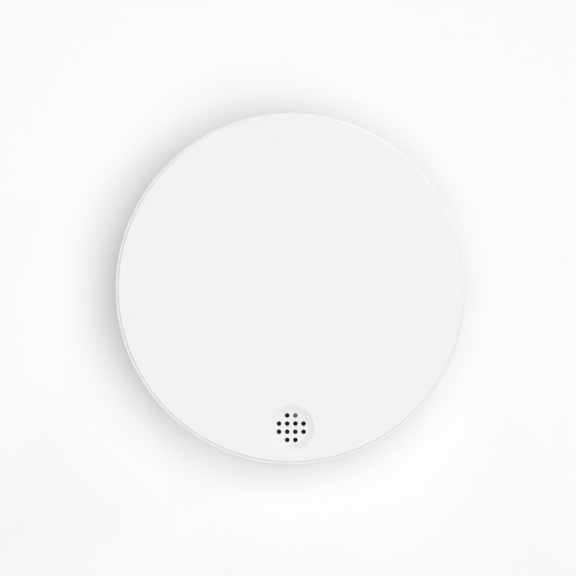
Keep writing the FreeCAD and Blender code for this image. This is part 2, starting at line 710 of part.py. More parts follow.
def contact_plate(side):
    """Plate that stands in the cradle's end, with a tail that lies on the board."""
    x0, x1 = sorted((side * (bay_half - SMALL_GAP), side * (bay_half - SMALL_GAP - CONTACT_THICKNESS)))
    half = CONTACT_WIDTH / 2
    plate = block(x0, x1, cell_y - half, cell_y + half, PLATE_THICKNESS + SMALL_GAP, cell_z + CONTACT_TOP)
    end_y = board_edge_y - TAIL_OVERLAP
    tail = block(x0, x1, end_y, cell_y - half, board_z, board_z + TAIL_HEIGHT)
    foot_x = side * (bay_half - SMALL_GAP - CONTACT_THICKNESS + TAIL_FOOT_WIDTH)
    f0, f1 = sorted((side * (bay_half - SMALL_GAP - CONTACT_THICKNESS), foot_x))
    foot = block(f0, f1, end_y, board_edge_y - SMALL_GAP, board_z, board_z + CONTACT_THICKNESS)
    return fused(plate, tail, foot)


def make_contacts():
    plate = contact_plate(1)
    x = bay_half - SMALL_GAP - CONTACT_THICKNESS / 2
    window = rod_along_x(CONTACT_DIMPLE_RADIUS + CONTACT_DIMPLE_HEIGHT, x - CONTACT_THICKNESS,
                         x + CONTACT_THICKNESS, cell_y, cell_z)
    low_z = cell_z - 2 * CONTACT_DIMPLE_RADIUS
    tongue_size = (CONTACT_THICKNESS, 2 * CONTACT_DIMPLE_RADIUS, 3 * CONTACT_DIMPLE_RADIUS)
    tongue = seat((x, cell_y), tongue_size, low_z)
    save("positive_contact", fused(plate.cut(window), tongue))
    save("negative_contact", contact_plate(-1))


def make_cell_spring():
    """Tapered spring between the negative contact and the cell."""
    half_wire = CELL_SPRING_WIRE / 2
    length = CELL_SPRING_LENGTH - CELL_SPRING_WIRE - 2 * SMALL_GAP
    spring = coil(CELL_SPRING_TURNS, CELL_SPRING_WIDE, CELL_SPRING_NARROW, length, CELL_SPRING_WIRE,
                  "battery spring")
    start_x = cell_back_x - CELL_SPRING_LENGTH + half_wire + SMALL_GAP
    spring.translate(V(start_x, cell_y, cell_z))
    save("battery_spring", spring)


def make_circuit_board():
    board = rod(board_r, board_back_z, board_z)
    board = board.common(block(-board_r, board_r, -board_r, board_edge_y, board_back_z, board_z))
    screws = [(side * SLOT_SPACING / 2, slot_y) for side in (-1, 1)]
    holes = [rod(BOARD_ACCESS_RADIUS, board_back_z, board_z, x, y) for x, y in screws]
    holes += [rod(SCREW_RADIUS + SCREW_HOLE_CLEARANCE, board_back_z, board_z, x, y) for x, y in post_places()]
    save("circuit_board", board.cut(holes))


def make_board_screws():
    """Pan-head screws with a cross recess."""
    screws = []
    for x, y in post_places():
        head = rod(SCREW_HEAD_RADIUS, board_z, board_z + SCREW_HEAD_HEIGHT, x, y)
        head = softened(head, SCREW_HEAD_HEIGHT / 3, board_z + SCREW_HEAD_HEIGHT)
        shank = rod(SCREW_RADIUS, board_z - SCREW_LENGTH, board_z, x, y)
        depth = SCREW_HEAD_HEIGHT / 2
        arm = SCREW_HEAD_RADIUS * 0.6
        slit = SCREW_HEAD_RADIUS * 0.12
        top = board_z + SCREW_HEAD_HEIGHT
        cross = [block(x - arm, x + arm, y - slit, y + slit, top - depth, top),
                 block(x - slit, x + slit, y - arm, y + arm, top - depth, top)]
        screws.append(fused(head, shank).cut(cross))
    save("board_screws", *screws)


def make_microphone():
    cx, cy = CAPSULE_OFFSET[0], grille_y + CAPSULE_OFFSET[1]
    can = softened(rod(CAPSULE_RADIUS, capsule_z, capsule_top_z, cx, cy), 0.3, capsule_top_z)
    save("microphone_capsule", can)
    leads = [
        rod(CAPSULE_LEAD_RADIUS, board_z, capsule_z, cx + side * CAPSULE_LEAD_PITCH / 2, cy)
        for side in (-1, 1)
    ]
    save("microphone_leads", *leads)
    boot = softened(rod(boot_r, board_z, boot_top_z, 0, grille_y), BOOT_SEAL_WIDTH / 2, boot_top_z)
    bores = [
        rod(CAPSULE_RADIUS + SMALL_GAP, capsule_z - SMALL_GAP, boot_top_z, cx, cy),
        rod(CAPSULE_RADIUS - BOOT_SHELF, board_z, capsule_z, cx, cy),
        rod(PIPE_RADIUS + PIPE_CLEARANCE, board_z, boot_top_z, LAMP_OFFSET[0], grille_y + LAMP_OFFSET[1]),
        seat((LAMP_OFFSET[0], grille_y + LAMP_OFFSET[1]),
             (LAMP_SIZE[0] + 4 * SMALL_GAP, LAMP_SIZE[1] + 4 * SMALL_GAP, LAMP_SIZE[2] + SMALL_GAP)),
    ]
    save("microphone_boot", boot.cut(bores))


def make_lamp():
    x, y = LAMP_OFFSET[0], grille_y + LAMP_OFFSET[1]
    save("status_lamp", seat((x, y), LAMP_SIZE))
    bottom = board_z + LAMP_SIZE[2] + SMALL_GAP
    tip = inner_face_z - MESH_THICKNESS - SMALL_GAP
    shaft = rod(PIPE_RADIUS, bottom, tip - PIPE_TIP_LENGTH, x, y)
    cone = Part.makeCone(PIPE_RADIUS, PIPE_TIP_RADIUS, PIPE_TIP_LENGTH, V(x, y, tip - PIPE_TIP_LENGTH))
    save("light_pipe", fused(shaft, cone))


def make_acoustic_stack():
    mesh = rod(mesh_r, inner_face_z - MESH_THICKNESS, inner_face_z, 0, grille_y)
    gasket = ring(mesh_r, gasket_bore_r, gasket_z, gasket_z + GASKET_THICKNESS, 0, grille_y)
    pipe_hole = rod(PIPE_TIP_RADIUS, gasket_z, inner_face_z, LAMP_OFFSET[0], grille_y + LAMP_OFFSET[1])
    inside = rod(flat_face_r, 0, case_depth)
    save("acoustic_mesh", mesh.cut(pipe_hole).common(inside))
    save("acoustic_gasket", gasket.common(inside))


def make_tamper_switch():
    body = seat((tamper_x, tamper_y), TAMPER_SIZE)
    depth = TAMPER_STEM_DEPTH + TAMPER_TRAVEL + SMALL_GAP
    bore = rod(TAMPER_STEM_RADIUS + SMALL_GAP, tamper_body_z - depth, tamper_body_z, tamper_x, tamper_y)
    save("tamper_switch_body", body.cut(bore))
    stem = rod(TAMPER_STEM_RADIUS, tamper_body_z - TAMPER_STEM_DEPTH, tamper_head_z, tamper_x, tamper_y)
    head = softened(rod(TAMPER_HEAD_RADIUS, tamper_head_z, tamper_top_z, tamper_x, tamper_y),
                    TAMPER_HEAD_HEIGHT / 3, tamper_top_z)
    save("tamper_plunger", fused(stem, head))
    length = TAMPER_SPRING_SPACE - TAMPER_SPRING_WIRE - 2 * SMALL_GAP
    spring = coil(TAMPER_SPRING_TURNS, TAMPER_SPRING_RADIUS, TAMPER_SPRING_RADIUS, length,
                  TAMPER_SPRING_WIRE, "tamper spring")
    spring.rotate(V(0, 0, 0), V(0, 1, 0), -90)
    spring.translate(V(tamper_x, tamper_y, tamper_body_z + SMALL_GAP + TAMPER_SPRING_WIRE / 2))
    save("tamper_spring", spring)


def make_test_switch():
    x, y = board_place(BUTTON_PLACE)
    top = board_z + BUTTON_BODY[2]
    body = seat((x, y), BUTTON_BODY)
    body = body.makeChamfer(0.4, [e for e in body.Edges if e.BoundBox.ZLength > BUTTON_BODY[2] / 2])
    depth = BUTTON_SEAT + BUTTON_TRAVEL + SMALL_GAP
    save("test_switch_body", body.cut(rod(BUTTON_RADIUS + SMALL_GAP, top - depth, top, x, y)))
    button = rod(BUTTON_RADIUS, top - BUTTON_SEAT, top + BUTTON_RISE, x, y)
    save("test_button", softened(button, BUTTON_RADIUS / 6, top + BUTTON_RISE))


def dip_slot_places():
    x, y = board_place(DIP_PLACE)
    return [(x + (i - (DIP_COUNT - 1) / 2) * DIP_PITCH, y) for i in range(DIP_COUNT)]


def make_setting_switch():
    top = board_z + DIP_SIZE[2]
    body = seat(board_place(DIP_PLACE), DIP_SIZE)
    body = body.makeChamfer(0.25, edges_at(body, top))
    slider_z = top - DIP_SLIDER_SEAT
    slot = (DIP_SLIDER[0] + 2 * DIP_CLEARANCE, DIP_SLIDER[1] + DIP_TRAVEL + 2 * DIP_CLEARANCE,
            DIP_SLIDER_SEAT + SMALL_GAP)
    slots = [seat(place, slot, top - slot[2]) for place in dip_slot_places()]
    save("setting_switch_body", body.cut(slots))
    for number, (x, y) in enumerate(dip_slot_places(), 1):
        slider = seat((x, y - DIP_TRAVEL / 2), DIP_SLIDER, slider_z)
        bevelled = slider.makeChamfer(DIP_CLEARANCE * 2, edges_at(slider, slider_z + DIP_SLIDER[2]))
        save(f"setting_slider_{number}", bevelled)


def make_chips():
    place, size = RADIO_CAN
    can = seat(board_place(place), size)
    can = can.makeFillet(0.5, [e for e in can.Edges if e.BoundBox.ZLength > size[2] / 2])
    hollow = [s - 2 * RADIO_CAN_WALL for s in size[:2]] + [size[2] - RADIO_CAN_WALL]
    save("radio_shield_can", can.cut(seat(board_place(place), hollow)))
    inner = (hollow[0] * 0.5, hollow[1] * 0.5, hollow[2] * 0.5)
    save("radio_chip", seat(board_place(place), inner))
    for name, (place, size), bevel in (("processor_chip", PROCESSOR, 0.1), ("crystal", CRYSTAL, 0.15)):
        chip = seat(board_place(place), size)
        save(name, chip.makeChamfer(bevel, edges_at(chip, board_z + size[2])))


def gull_lead(x, y, side):
    """Lead that leaves the body's side halfway up, steps down and lies on the board."""
    body_half = AMPLIFIER[1][1] / 2
    mid = board_z + AMPLIFIER[1][2] / 2
    w = LEAD_WIDTH / 2
    t = LEAD_THICKNESS
    reach = body_half + LEAD_REACH
    step = body_half + LEAD_REACH / 2
    pieces = []
    for near, far, z0, z1 in ((body_half, step, mid - t, mid), (step - t, step, board_z, mid),
                              (step - t, reach, board_z, board_z + t)):
        y0, y1 = sorted((y + side * near, y + side * far))
        pieces.append(block(x - w, x + w, y0, y1, z0, z1))
    return fused(*pieces)


def make_amplifier():
    place, size = AMPLIFIER
    x, y = grille_place(place)
    chip = seat((x, y), (size[0], size[1], size[2] - 0.1), board_z + 0.1)
    chip = chip.makeChamfer(0.25, edges_at(chip, board_z + size[2]))
    save("amplifier_chip", chip)
    leads = []
    for i in range(AMPLIFIER_LEADS):
        lead_x = x + (i - (AMPLIFIER_LEADS - 1) / 2) * LEAD_PITCH
        leads += [gull_lead(lead_x, y, side) for side in (-1, 1)]
    save("amplifier_leads", *leads)


def make_capacitors():
    cans = []
    feet = []
    for spot in CAPACITOR_PLACES:
        x, y = grille_place(spot)
        foot_top = board_z + CAPACITOR_FOOT[2]
        foot = seat((x, y), CAPACITOR_FOOT)
        right_side = [e for e in foot.Edges if e.BoundBox.XMin > x]
        upright = [e for e in right_side if e.BoundBox.ZLength > CAPACITOR_FOOT[2] / 2]
        feet.append(foot.makeChamfer(1.0, upright))
        can = rod(CAPACITOR_RADIUS, foot_top, board_z + CAPACITOR_HEIGHT, x, y)
        cans.append(softened(can, 0.3, board_z + CAPACITOR_HEIGHT))
    save("capacitor_cans", *cans)
    save("capacitor_feet", *feet)
    save("chip_resistors", *[seat(place, RESISTOR_SIZE) for place in grid_places(RESISTOR_GRID)])
    save("chip_capacitors", *[seat(place, CERAMIC_SIZE) for place in grid_places(CERAMIC_GRID)])


def make_antenna():
    """Wound wire antenna whose straight ends stand on the board."""
    x = -(board_r - ANTENNA_RIM_INSET)
    y = post_places()[0][1] + ANTENNA_POST_RISE
    height = ANTENNA_RADIUS + ANTENNA_WIRE / 2 + ANTENNA_CLEARANCE
    length = ANTENNA_TURNS * ANTENNA_PITCH
    winding = coil(ANTENNA_TURNS, ANTENNA_RADIUS, ANTENNA_RADIUS, length, ANTENNA_WIRE, "antenna",
                   height - SMALL_GAP)
    winding.translate(V(x, y, board_z + height))
    save("coil_antenna", winding)


def main():
    os.makedirs("parts", exist_ok=True)
    make_front_cover()
    make_acoustic_stack()
    make_mounting_base()
    make_base_spigot()
    make_cell_cradle()
    make_cover_latch()
    make_cell()
    make_contacts()
    make_cell_spring()
    make_circuit_board()
    make_board_screws()
    make_microphone()
    make_lamp()
    make_tamper_switch()
    make_test_switch()
    make_setting_switch()
    make_chips()
    make_amplifier()
    make_capacitors()
    make_antenna()
    print(f"depth {case_depth:.2f}, cell y {cell_y:.2f}")
    print(f"board edge y {board_edge_y:.2f}, board z {board_z:.2f}, grille y {grille_y:.2f}")


main()
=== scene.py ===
import json
import math

import bmesh
import bpy
import numpy as np
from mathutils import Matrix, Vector


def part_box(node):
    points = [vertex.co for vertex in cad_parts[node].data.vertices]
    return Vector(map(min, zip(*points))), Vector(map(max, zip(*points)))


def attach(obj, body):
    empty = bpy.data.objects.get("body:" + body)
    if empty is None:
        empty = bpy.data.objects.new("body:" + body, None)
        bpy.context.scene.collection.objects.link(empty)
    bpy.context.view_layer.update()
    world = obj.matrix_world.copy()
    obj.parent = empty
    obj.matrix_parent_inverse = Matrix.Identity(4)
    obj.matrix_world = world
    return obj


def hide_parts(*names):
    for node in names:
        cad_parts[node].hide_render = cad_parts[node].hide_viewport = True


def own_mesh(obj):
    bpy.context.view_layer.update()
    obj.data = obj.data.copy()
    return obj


# Looks of a round, battery-powered glass break sensor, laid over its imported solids.
# Lengths are in millimetres until a mesh is made. +Z is out of the wall towards the face,
# +Y up the wall, +X from the hinge towards the latch.

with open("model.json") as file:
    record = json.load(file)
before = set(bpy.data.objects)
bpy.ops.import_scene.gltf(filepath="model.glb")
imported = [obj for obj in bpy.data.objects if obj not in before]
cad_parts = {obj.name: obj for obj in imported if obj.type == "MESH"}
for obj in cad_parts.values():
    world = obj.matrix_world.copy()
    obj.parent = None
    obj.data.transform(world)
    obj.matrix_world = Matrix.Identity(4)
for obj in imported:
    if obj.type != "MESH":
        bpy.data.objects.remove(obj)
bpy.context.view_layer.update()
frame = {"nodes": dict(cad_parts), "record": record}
NODES = frame["nodes"]
BODY_OF = {node: body for body, members in frame["record"]["behaviour"]["bodies"].items() for node in members}
MM = 0.001

# Case
INNER_FACE_Z = 20.2
FLAT_FACE_RADIUS = 39.85      # inside, short of the corner between face and side
DISH_EDGE_ANGLE = 16.0        # degrees; the dish slopes a little more, and its edges stay crisp
PLATE_Z = 2.5
COVER_EJECTORS = ((-26, -12), (17, -10), (-22, 8), (22, 8), (0, 33))
BASE_EJECTORS = ((-12, -6), (12, -6), (-10, -29), (10, -29), (33, 10), (-30, 14))
EJECTOR_LINE = 0.16           # width of the ring that an ejector pin leaves

# Grille, mesh, gasket and boot
GRILLE_Y = -34.05
LAMP_OFFSET = (1.0, 3.0)
MESH_RADIUS = 5.96
MESH_THICKNESS = 0.15
MESH_PIPE_RADIUS = 0.8
THREAD_PITCH = 0.3            # the real one, of 0.1, would be too fine to show
THREAD_HEIGHT = 0.02
GASKET_RADII = (4.36, 5.96)
GASKET_LEVELS = (18.8, 20.05)
GASKET_EDGE = 0.18            # radius of its corners
BOOT_RIB_LEVELS = (13.4, 15.0, 16.6)

# Levels on the circuit board
BOARD_Z = 12.0
BOARD_BACK_Z = 10.4
COPPER_Z = BOARD_Z + 0.035    # upper face of a trace
INK_Z = BOARD_Z - 0.002       # prints and pads start just under the board's face
INK = 0.02                    # thickness of a print
PAD_Z = BOARD_Z - 0.005
PAD_HEIGHT = 0.03
SEAT_Z = BOARD_Z + 0.02       # underside of the chips and legs
SOLDER_Z = BOARD_Z + 0.025

# Cell
CELL_AXIS = (19.59, 10.05)    # y and z
CELL_RADIUS = 8.5
POLARITY_X = 24.6             # plus at one end, minus at the other

# Coils: turns, first and last radius, length, wire, straight leg
CELL_SPRING = (3, 4.2, 2.4, 3.2, 0.7, 0.0)
TAMPER_SPRING = (3, 1.45, 1.45, 2.3, 0.3, 0.0)
ANTENNA = (9.5, 2.4, 2.4, 15.2, 0.6, 3.05)
CELL_SPRING_START = (-18.85, 19.59, 10.05)
TAMPER_PLACE = (29.416, -13.097)
TAMPER_SPRING_BASE = 15.4
ANTENNA_START = (-32.4, -16.32, 15.1)

# View
CAMERA_DISTANCE = 2500.0
FACE_Z = 22.0
PICTURE_WIDTH = 141.0         # across the picture, at the face
CAMERA_X = -0.80
CAMERA_Y = 0.15
SENSOR_WIDTH = 36.0
FLOOR_SIZE = 6000.0
FLOOR_LIGHT = 3.15            # all the lights together, on the floor
LIGHTS = (                    # azimuth, elevation and width in degrees, and share of the floor's light
    (0, 90, 50, 0.248),
    (15, 70, 40, 0.187), (75, 70, 40, 0.066), (-50, 70, 40, 0.145), (45, 50, 40, 0.028), (185, 72, 40, 0.028),
    (165, 40, 45, 0.064), (215, 40, 45, 0.058), (260, 40, 45, 0.073), (315, 40, 45, 0.051),
    (20, 5, 8, 0.018), (65, 5, 8, 0.017), (110, 5, 8, 0.017),
)


# Colour and nodes

def linear(code):
    """sRGB hex to linear RGBA."""
    channels = [int(code[i:i + 2], 16) / 255 for i in (0, 2, 4)]
    return tuple(c / 12.92 if c <= 0.04045 else ((c + 0.055) / 1.055) ** 2.4 for c in channels) + (1.0,)


def surface(name, colour, roughness, **sockets):
    """New material, with the values that are the same all over set on its shader."""
    material = bpy.data.materials.new(name)
    material.use_nodes = True
    shader = material.node_tree.nodes["Principled BSDF"]
    shader.inputs["Base Color"].default_value = linear(colour)
    shader.inputs["Roughness"].default_value = roughness
    for socket, value in sockets.items():
        shader.inputs[socket.replace("_", " ")].default_value = value
    return material


def add_node(owner, kind, inputs, output, goal=None, stops=(), **settings):
    """Adds a node to a material or the world, with its settings, its inputs set or linked, and a ramp's
    (position, sRGB hex) stops. Gives back the named output, which is also linked to the shader's socket
    where a goal is named."""
    tree = owner.node_tree
    node = tree.nodes.new(kind)
    for name, value in settings.items():
        setattr(node, name, value)
    for name, value in inputs.items():
        if isinstance(value, bpy.types.NodeSocket):
            tree.links.new(value, node.inputs[name])
        else:
            node.inputs[name].default_value = value
    for index, (position, colour) in enumerate(stops):
        points = node.color_ramp.elements
        point = points[index] if index < 2 else points.new(position)
        point.position = position
        point.color = linear(colour)
    if goal:
        tree.links.new(node.outputs[output], tree.nodes["Principled BSDF"].inputs[goal])
    return node.outputs[output]


def millimetres(material, stretch=(1, 1, 1)):
    """Object coordinates in millimetres, drawn out along an axis where its stretch is under 1."""
    place = add_node(material, "ShaderNodeTexCoord", {}, "Object")
    scale = tuple(s / MM for s in stretch)
    return add_node(material, "ShaderNodeMapping", {"Vector": place, "Scale": scale}, "Vector")


def grain(material, at, size, depth, detail=2.0):
    """Relief of lumps of a size and height, in millimetres."""
    inputs = {"Vector": at, "Scale": 1 / size, "Detail": detail}
    lumps = add_node(material, "ShaderNodeTexNoise", inputs, "Fac")
    add_node(material, "ShaderNodeBump", {"Height": lumps, "Distance": depth * MM}, "Normal", "Normal")


def cloudy_gloss(material, at, size, least, most, detail=2.0):
    """Roughness that wanders between two values, in patches of a size in millimetres."""
    inputs = {"Vector": at, "Scale": 1 / size, "Detail": detail}
    patches = add_node(material, "ShaderNodeTexNoise", inputs, "Fac")
    add_node(material, "ShaderNodeMapRange", {"Value": patches, "To Min": least, "To Max": most}, "Result",
             "Roughness")


def mottled(material, at, size, dark, light, detail=2.0):
    """Colour that wanders between two sRGB hex values, in patches of a size in millimetres."""
    inputs = {"Vector": at, "Scale": 1 / size, "Detail": detail}
    patches = add_node(material, "ShaderNodeTexNoise", inputs, "Fac")
    add_node(material, "ShaderNodeValToRGB", {"Fac": patches}, "Color", "Base Color",
             ((0.3, dark), (0.7, light)))


def finish(name, colour, roughness, lumps=(), gloss=(), tones=(), stretch=(1, 1, 1), **sockets):
    """New material with the patterns that it is given: lumps as (size, depth), gloss as (size, least, most)
    and tones as (size, dark, light), each with the noise's detail last where it isn't 2."""
    material = surface(name, colour, roughness, **sockets)
    at = millimetres(material, stretch)
    for pattern, values in ((grain, lumps), (cloudy_gloss, gloss), (mottled, tones)):
        if values:
            pattern(material, at, *values)
    return material


# Materials

def moulded_abs(name, colour):
    """ABS from a spark-eroded mould: a grain of 0.12 mm dulls the gloss, and the flow varies it slightly."""
    return finish(name, colour, 0.4, lumps=(0.12, 0.004, 3.0), gloss=(25.0, 0.36, 0.44), IOR=1.53)


def moulded_acetal():
    """Unfilled acetal, off-white and slightly waxy, from a smooth mould."""
    return finish("moulded_acetal", "E3E1D8", 0.32, lumps=(0.6, 0.006), gloss=(3.0, 0.26, 0.38), IOR=1.48)


def woven_polyester():
    """Black monofilament cloth: the threads are in its mesh, dull, and dark where they shade each other."""
    return finish("woven_polyester", "0E0E0E", 0.75, tones=(0.4, "101010", "1C1C1C"), IOR=1.57,
                  Specular_IOR_Level=0.22)


def closed_cell_foam():
    """Die-cut neoprene foam: its cell size is 0.25 mm, and each cell is open where the knife cut it. The
    colour is darker down in each open cell's hollow: painted shade.
    """
    material = surface("closed_cell_foam", "262627", 0.9, IOR=1.5)
    at = millimetres(material)
    cell_depth_and_painted_shade = add_node(material, "ShaderNodeTexVoronoi", {"Vector": at, "Scale": 1 / 0.25}, "Distance")
    add_node(material, "ShaderNodeBump", {"Height": cell_depth_and_painted_shade, "Distance": 0.06 * MM}, "Normal", "Normal")
    # painted shade: the colour is darkest where the bump is lowest, down in each open cell's hollow
    add_node(material, "ShaderNodeValToRGB", {"Fac": cell_depth_and_painted_shade}, "Color", "Base Color",
             ((0.1, "161617"), (0.6, "2E2E30")))
    return material


def moulded_silicone():
    """Dark silicone rubber: matt, with a faint bloom of dust."""
    return finish("moulded_silicone", "2B2B2D", 0.6, lumps=(0.2, 0.01), tones=(1.5, "272729", "343437", 4.0),
                  IOR=1.41, Sheen_Weight=0.1)


def smoky_acrylic():
    """Polished acrylic with a grey tint and a frosted tip that spreads the lamp's light."""
    return finish("smoky_acrylic", "404245", 0.18, gloss=(0.5, 0.12, 0.26), IOR=1.49, Transmission_Weight=0.35)


def solder_mask():
    """Green epoxy mask over woven glass: the cloth's 0.6 mm weave just shows through the gloss."""
    material = surface("solder_mask", "0A5A31", 0.32, IOR=1.52, Specular_IOR_Level=0.38)
    at = millimetres(material)
    threads = [add_node(material, "ShaderNodeTexWave", {"Vector": at, "Scale": 1 / 0.6 / 2}, "Fac",
                        bands_direction=way, wave_profile="SIN") for way in ("X", "Y")]
    cloth = add_node(material, "ShaderNodeMath", {0: threads[0], 1: threads[1]}, 0, operation="MULTIPLY")
    add_node(material, "ShaderNodeBump", {"Height": cloth, "Distance": 0.004 * MM}, "Normal", "Normal")
    flow = add_node(material, "ShaderNodeTexNoise", {"Vector": at, "Scale": 1 / 8.0}, "Fac")
    tint = add_node(material, "ShaderNodeMath", {0: cloth, 1: flow}, 0, operation="MULTIPLY")
    add_node(material, "ShaderNodeValToRGB", {"Fac": tint}, "Color", "Base Color",
             ((0.0, "08532C"), (0.6, "0C6638")))
    return material


def masked_copper():
    """Copper under the green mask: lighter and yellower than the bare laminate."""
    return finish("masked_copper", "1E8448", 0.3, tones=(2.0, "1B7D42", "278E50"), IOR=1.52,
                  Specular_IOR_Level=0.38)


def cut_laminate():
    """Routed edge of glass-epoxy laminate: straw-green layers of 0.2 mm with torn fibres."""
    material = surface("cut_laminate", "A5A268", 0.75, IOR=1.55)
    at = millimetres(material)
    layers = add_node(material, "ShaderNodeTexWave", {"Vector": at, "Scale": 1 / 0.2 / 2, "Distortion": 1.0},
                      "Fac", bands_direction="Z")
    add_node(material, "ShaderNodeValToRGB", {"Fac": layers}, "Color", "Base Color",
             ((0.2, "8F8D55"), (0.8, "B5B27A")))
    grain(material, at, 0.1, 0.02)
    return material


def printed_ink():
    """White screen-printed ink, thin at its edges and a little uneven."""
    return finish("printed_ink", "DCDDD8", 0.6, tones=(0.4, "CDD0C8", "E3E4DF", 3.0), IOR=1.5)


def solder():
    """Tin solder that froze from the melt: bright, slightly rippled, a faint grey frost."""
    return finish("solder", "A9ABAE", 0.28, lumps=(0.5, 0.03, 1.0), gloss=(0.15, 0.18, 0.4), Metallic=1.0)


def tin_plate(name, colour):
    """Electroplated tin on sheet: satin, with rolling lines along X."""
    return finish(name, colour, 0.38, lumps=(0.15, 0.002, 3.0), gloss=(0.15, 0.3, 0.46, 3.0),
                  stretch=(0.08, 1, 1), Metallic=1.0)


def tinned_copper():
    """Tin over copper round a hole, dulled and yellowed by the mask at its edge."""
    return finish("tinned_copper", "A8A48A", 0.38, gloss=(0.3, 0.3, 0.48), Metallic=1.0)


def nickel_plate():
    """Nickel on stamped spring steel: warmer than tin, with upright rolling lines."""
    return finish("nickel_plate", "B9B4A8", 0.3, lumps=(0.15, 0.002, 3.0), gloss=(0.15, 0.22, 0.4, 3.0),
                  stretch=(1, 1, 0.08), Metallic=1.0)


def drawn_wire(name, colour, roughness, **sockets):
    """Drawn wire: fine die lines, and a slight change of gloss from turn to turn."""
    return finish(name, colour, roughness, lumps=(0.08, 0.002), gloss=(1.2, roughness * 0.75, roughness * 1.3),
                  Metallic=1.0, **sockets)


def drawn_aluminium():
    """Deep-drawn aluminium can: upright draw marks and a soft satin top."""
    return finish("drawn_aluminium", "B7B9BC", 0.36, lumps=(0.1, 0.003), gloss=(0.1, 0.3, 0.46),
                  stretch=(1, 1, 0.06), Metallic=1.0)


def moulded_epoxy():
    """Filled epoxy of chip packages: near black, with the fine matt grain of an eroded mould."""
    return finish("moulded_epoxy", "1E1E20", 0.62, lumps=(0.06, 0.006), tones=(0.8, "1B1B1D", "242426", 4.0),
                  IOR=1.55, Specular_IOR_Level=0.4)


def glass_filled_nylon(name, dark, light, lump=0.09):
    """Moulded glass-filled plastic of switches: fibres leave a dull, slightly cloudy skin."""
    return finish(name, dark, 0.48, lumps=(lump, 0.006), gloss=(2.0, 0.4, 0.56), tones=(0.7, dark, light, 4.0),
                  IOR=1.53)


def fired_ceramic(name, dark, light):
    """Fired dielectric or alumina: fine, dry and speckled."""
    return finish(name, dark, 0.5, lumps=(0.05, 0.003), tones=(0.12, dark, light, 3.0), IOR=1.7)


def shrink_sleeve():
    """Glossy PVC shrink sleeve: slate blue, with a plain silver band at the positive end."""
    material = surface("shrink_sleeve", "33404F", 0.22, IOR=1.53, Coat_Weight=0.4, Coat_Roughness=0.08)
    at = millimetres(material)
    along = add_node(material, "ShaderNodeSeparateXYZ", {"Vector": at}, "X")
    span = {"Value": along, "From Min": -16.0, "From Max": 19.0}
    share = add_node(material, "ShaderNodeMapRange", span, "Result")
    add_node(material, "ShaderNodeValToRGB", {"Fac": share}, "Color", "Base Color",
             ((0.0, "2E3A49"), (0.62, "35424F"), (0.625, "D8D9DA"), (0.64, "D8D9DA"), (0.645, "9DA2A8")))
    grain(material, at, 2.5, 0.02)
    return material


def press_felt():
    """Thin black felt over the microphone's port."""
    return finish("press_felt", "1A1A1B", 0.95, lumps=(0.08, 0.05, 4.0), tones=(0.08, "101011", "2A2A2C", 4.0),
                  Sheen_Weight=0.3)


def clear_resin():
    """Clear epoxy over a lamp's chip, with a yellowish phosphor tint."""
    return finish("clear_resin", "E4DFB4", 0.12, gloss=(0.4, 0.08, 0.18), IOR=1.54, Transmission_Weight=0.4)


def painted_wall(colour):
    """Matt wall paint."""
    return surface("wall_paint", colour, 0.95, Specular_IOR_Level=0.0)


# Forms: (points, faces), in millimetres

def turn_angles(count):
    """Angles of a full turn, evenly spaced."""
    return np.arange(count) * (2 * math.pi / count)


def ways(angle):
    """Directions (cos, sin) of angles."""
    return np.stack([np.cos(angle), np.sin(angle)], 1)


def skin(rings, loop=False):
    """Surface through rings of equally many points: quads between neighbours, and a flat face over each end,
    or where it loops, quads from the last ring to the first."""
    rings = np.asarray(rings, float)
    rows, columns = rings.shape[:2]
    index = np.arange(rows * columns).reshape(rows, columns)
    low, high = (index, np.roll(index, -1, axis=0)) if loop else (index[:-1], index[1:])
    quads = np.stack([low, np.roll(low, -1, axis=1), np.roll(high, -1, axis=1), high], axis=-1)
    faces = quads.reshape(-1, 4).tolist()
    if not loop:
        faces += [index[0][::-1].tolist(), index[-1].tolist()]
    return rings.reshape(-1, 3), faces


def turned(profile, place=(0, 0, 0), axis="z", count=48, loop=False):
    """Profile of (radius, height) points carried round an axis: radius times (cos, sin), at the height."""
    radius, height = np.asarray(profile, float).T
    rings = np.empty((len(radius), count, 3))
    rings[..., :2] = radius[:, None, None] * ways(turn_angles(count))
    rings[..., 2] = height[:, None]
    if axis == "x":
        rings = rings[..., [2, 0, 1]]
    return skin(rings + np.array(place, float), loop)


def rounded_block(low, high, corner, edge, both=False, steps=4):
    """Block with round upright corners and a round upper edge, and a round lower one if both is set:
    the corner's circle, carried up a profile whose inset is edge (1 - cos) as it rises by edge sin."""
    low, high = np.array(low, float), np.array(high, float)
    angle = np.concatenate([np.linspace(k, k + 1, steps) for k in range(4)]) * (math.pi / 2)
    sign = np.repeat([(1, 1), (-1, 1), (-1, -1), (1, -1)], steps, axis=0)
    core = (low[:2] + high[:2]) / 2 + sign * ((high[:2] - low[:2]) / 2 - corner)
    rise = np.linspace(0, math.pi / 2, steps)
    inset = edge * (1 - np.cos(rise))
    level = high[2] - edge + edge * np.sin(rise)
    if both:
        inset = np.concatenate([inset[::-1], inset])
        level = np.concatenate([low[2] + edge - edge * np.sin(rise[::-1]), level])
    else:
        inset = np.append(0.0, inset)
        level = np.append(low[2], level)
    rings = np.empty((len(inset), len(angle), 3))
    rings[..., :2] = core + (corner - inset)[:, None, None] * ways(angle)
    rings[..., 2] = level[:, None]
    return skin(rings)


def block_at(size, base, corner, edge, **options):
    """Rounded block of a size, centred on the Z axis, standing on a level."""
    x, y, z = size[0] / 2, size[1] / 2, base + size[2]
    return rounded_block((-x, -y, base), (x, y, z), corner, edge, **options)


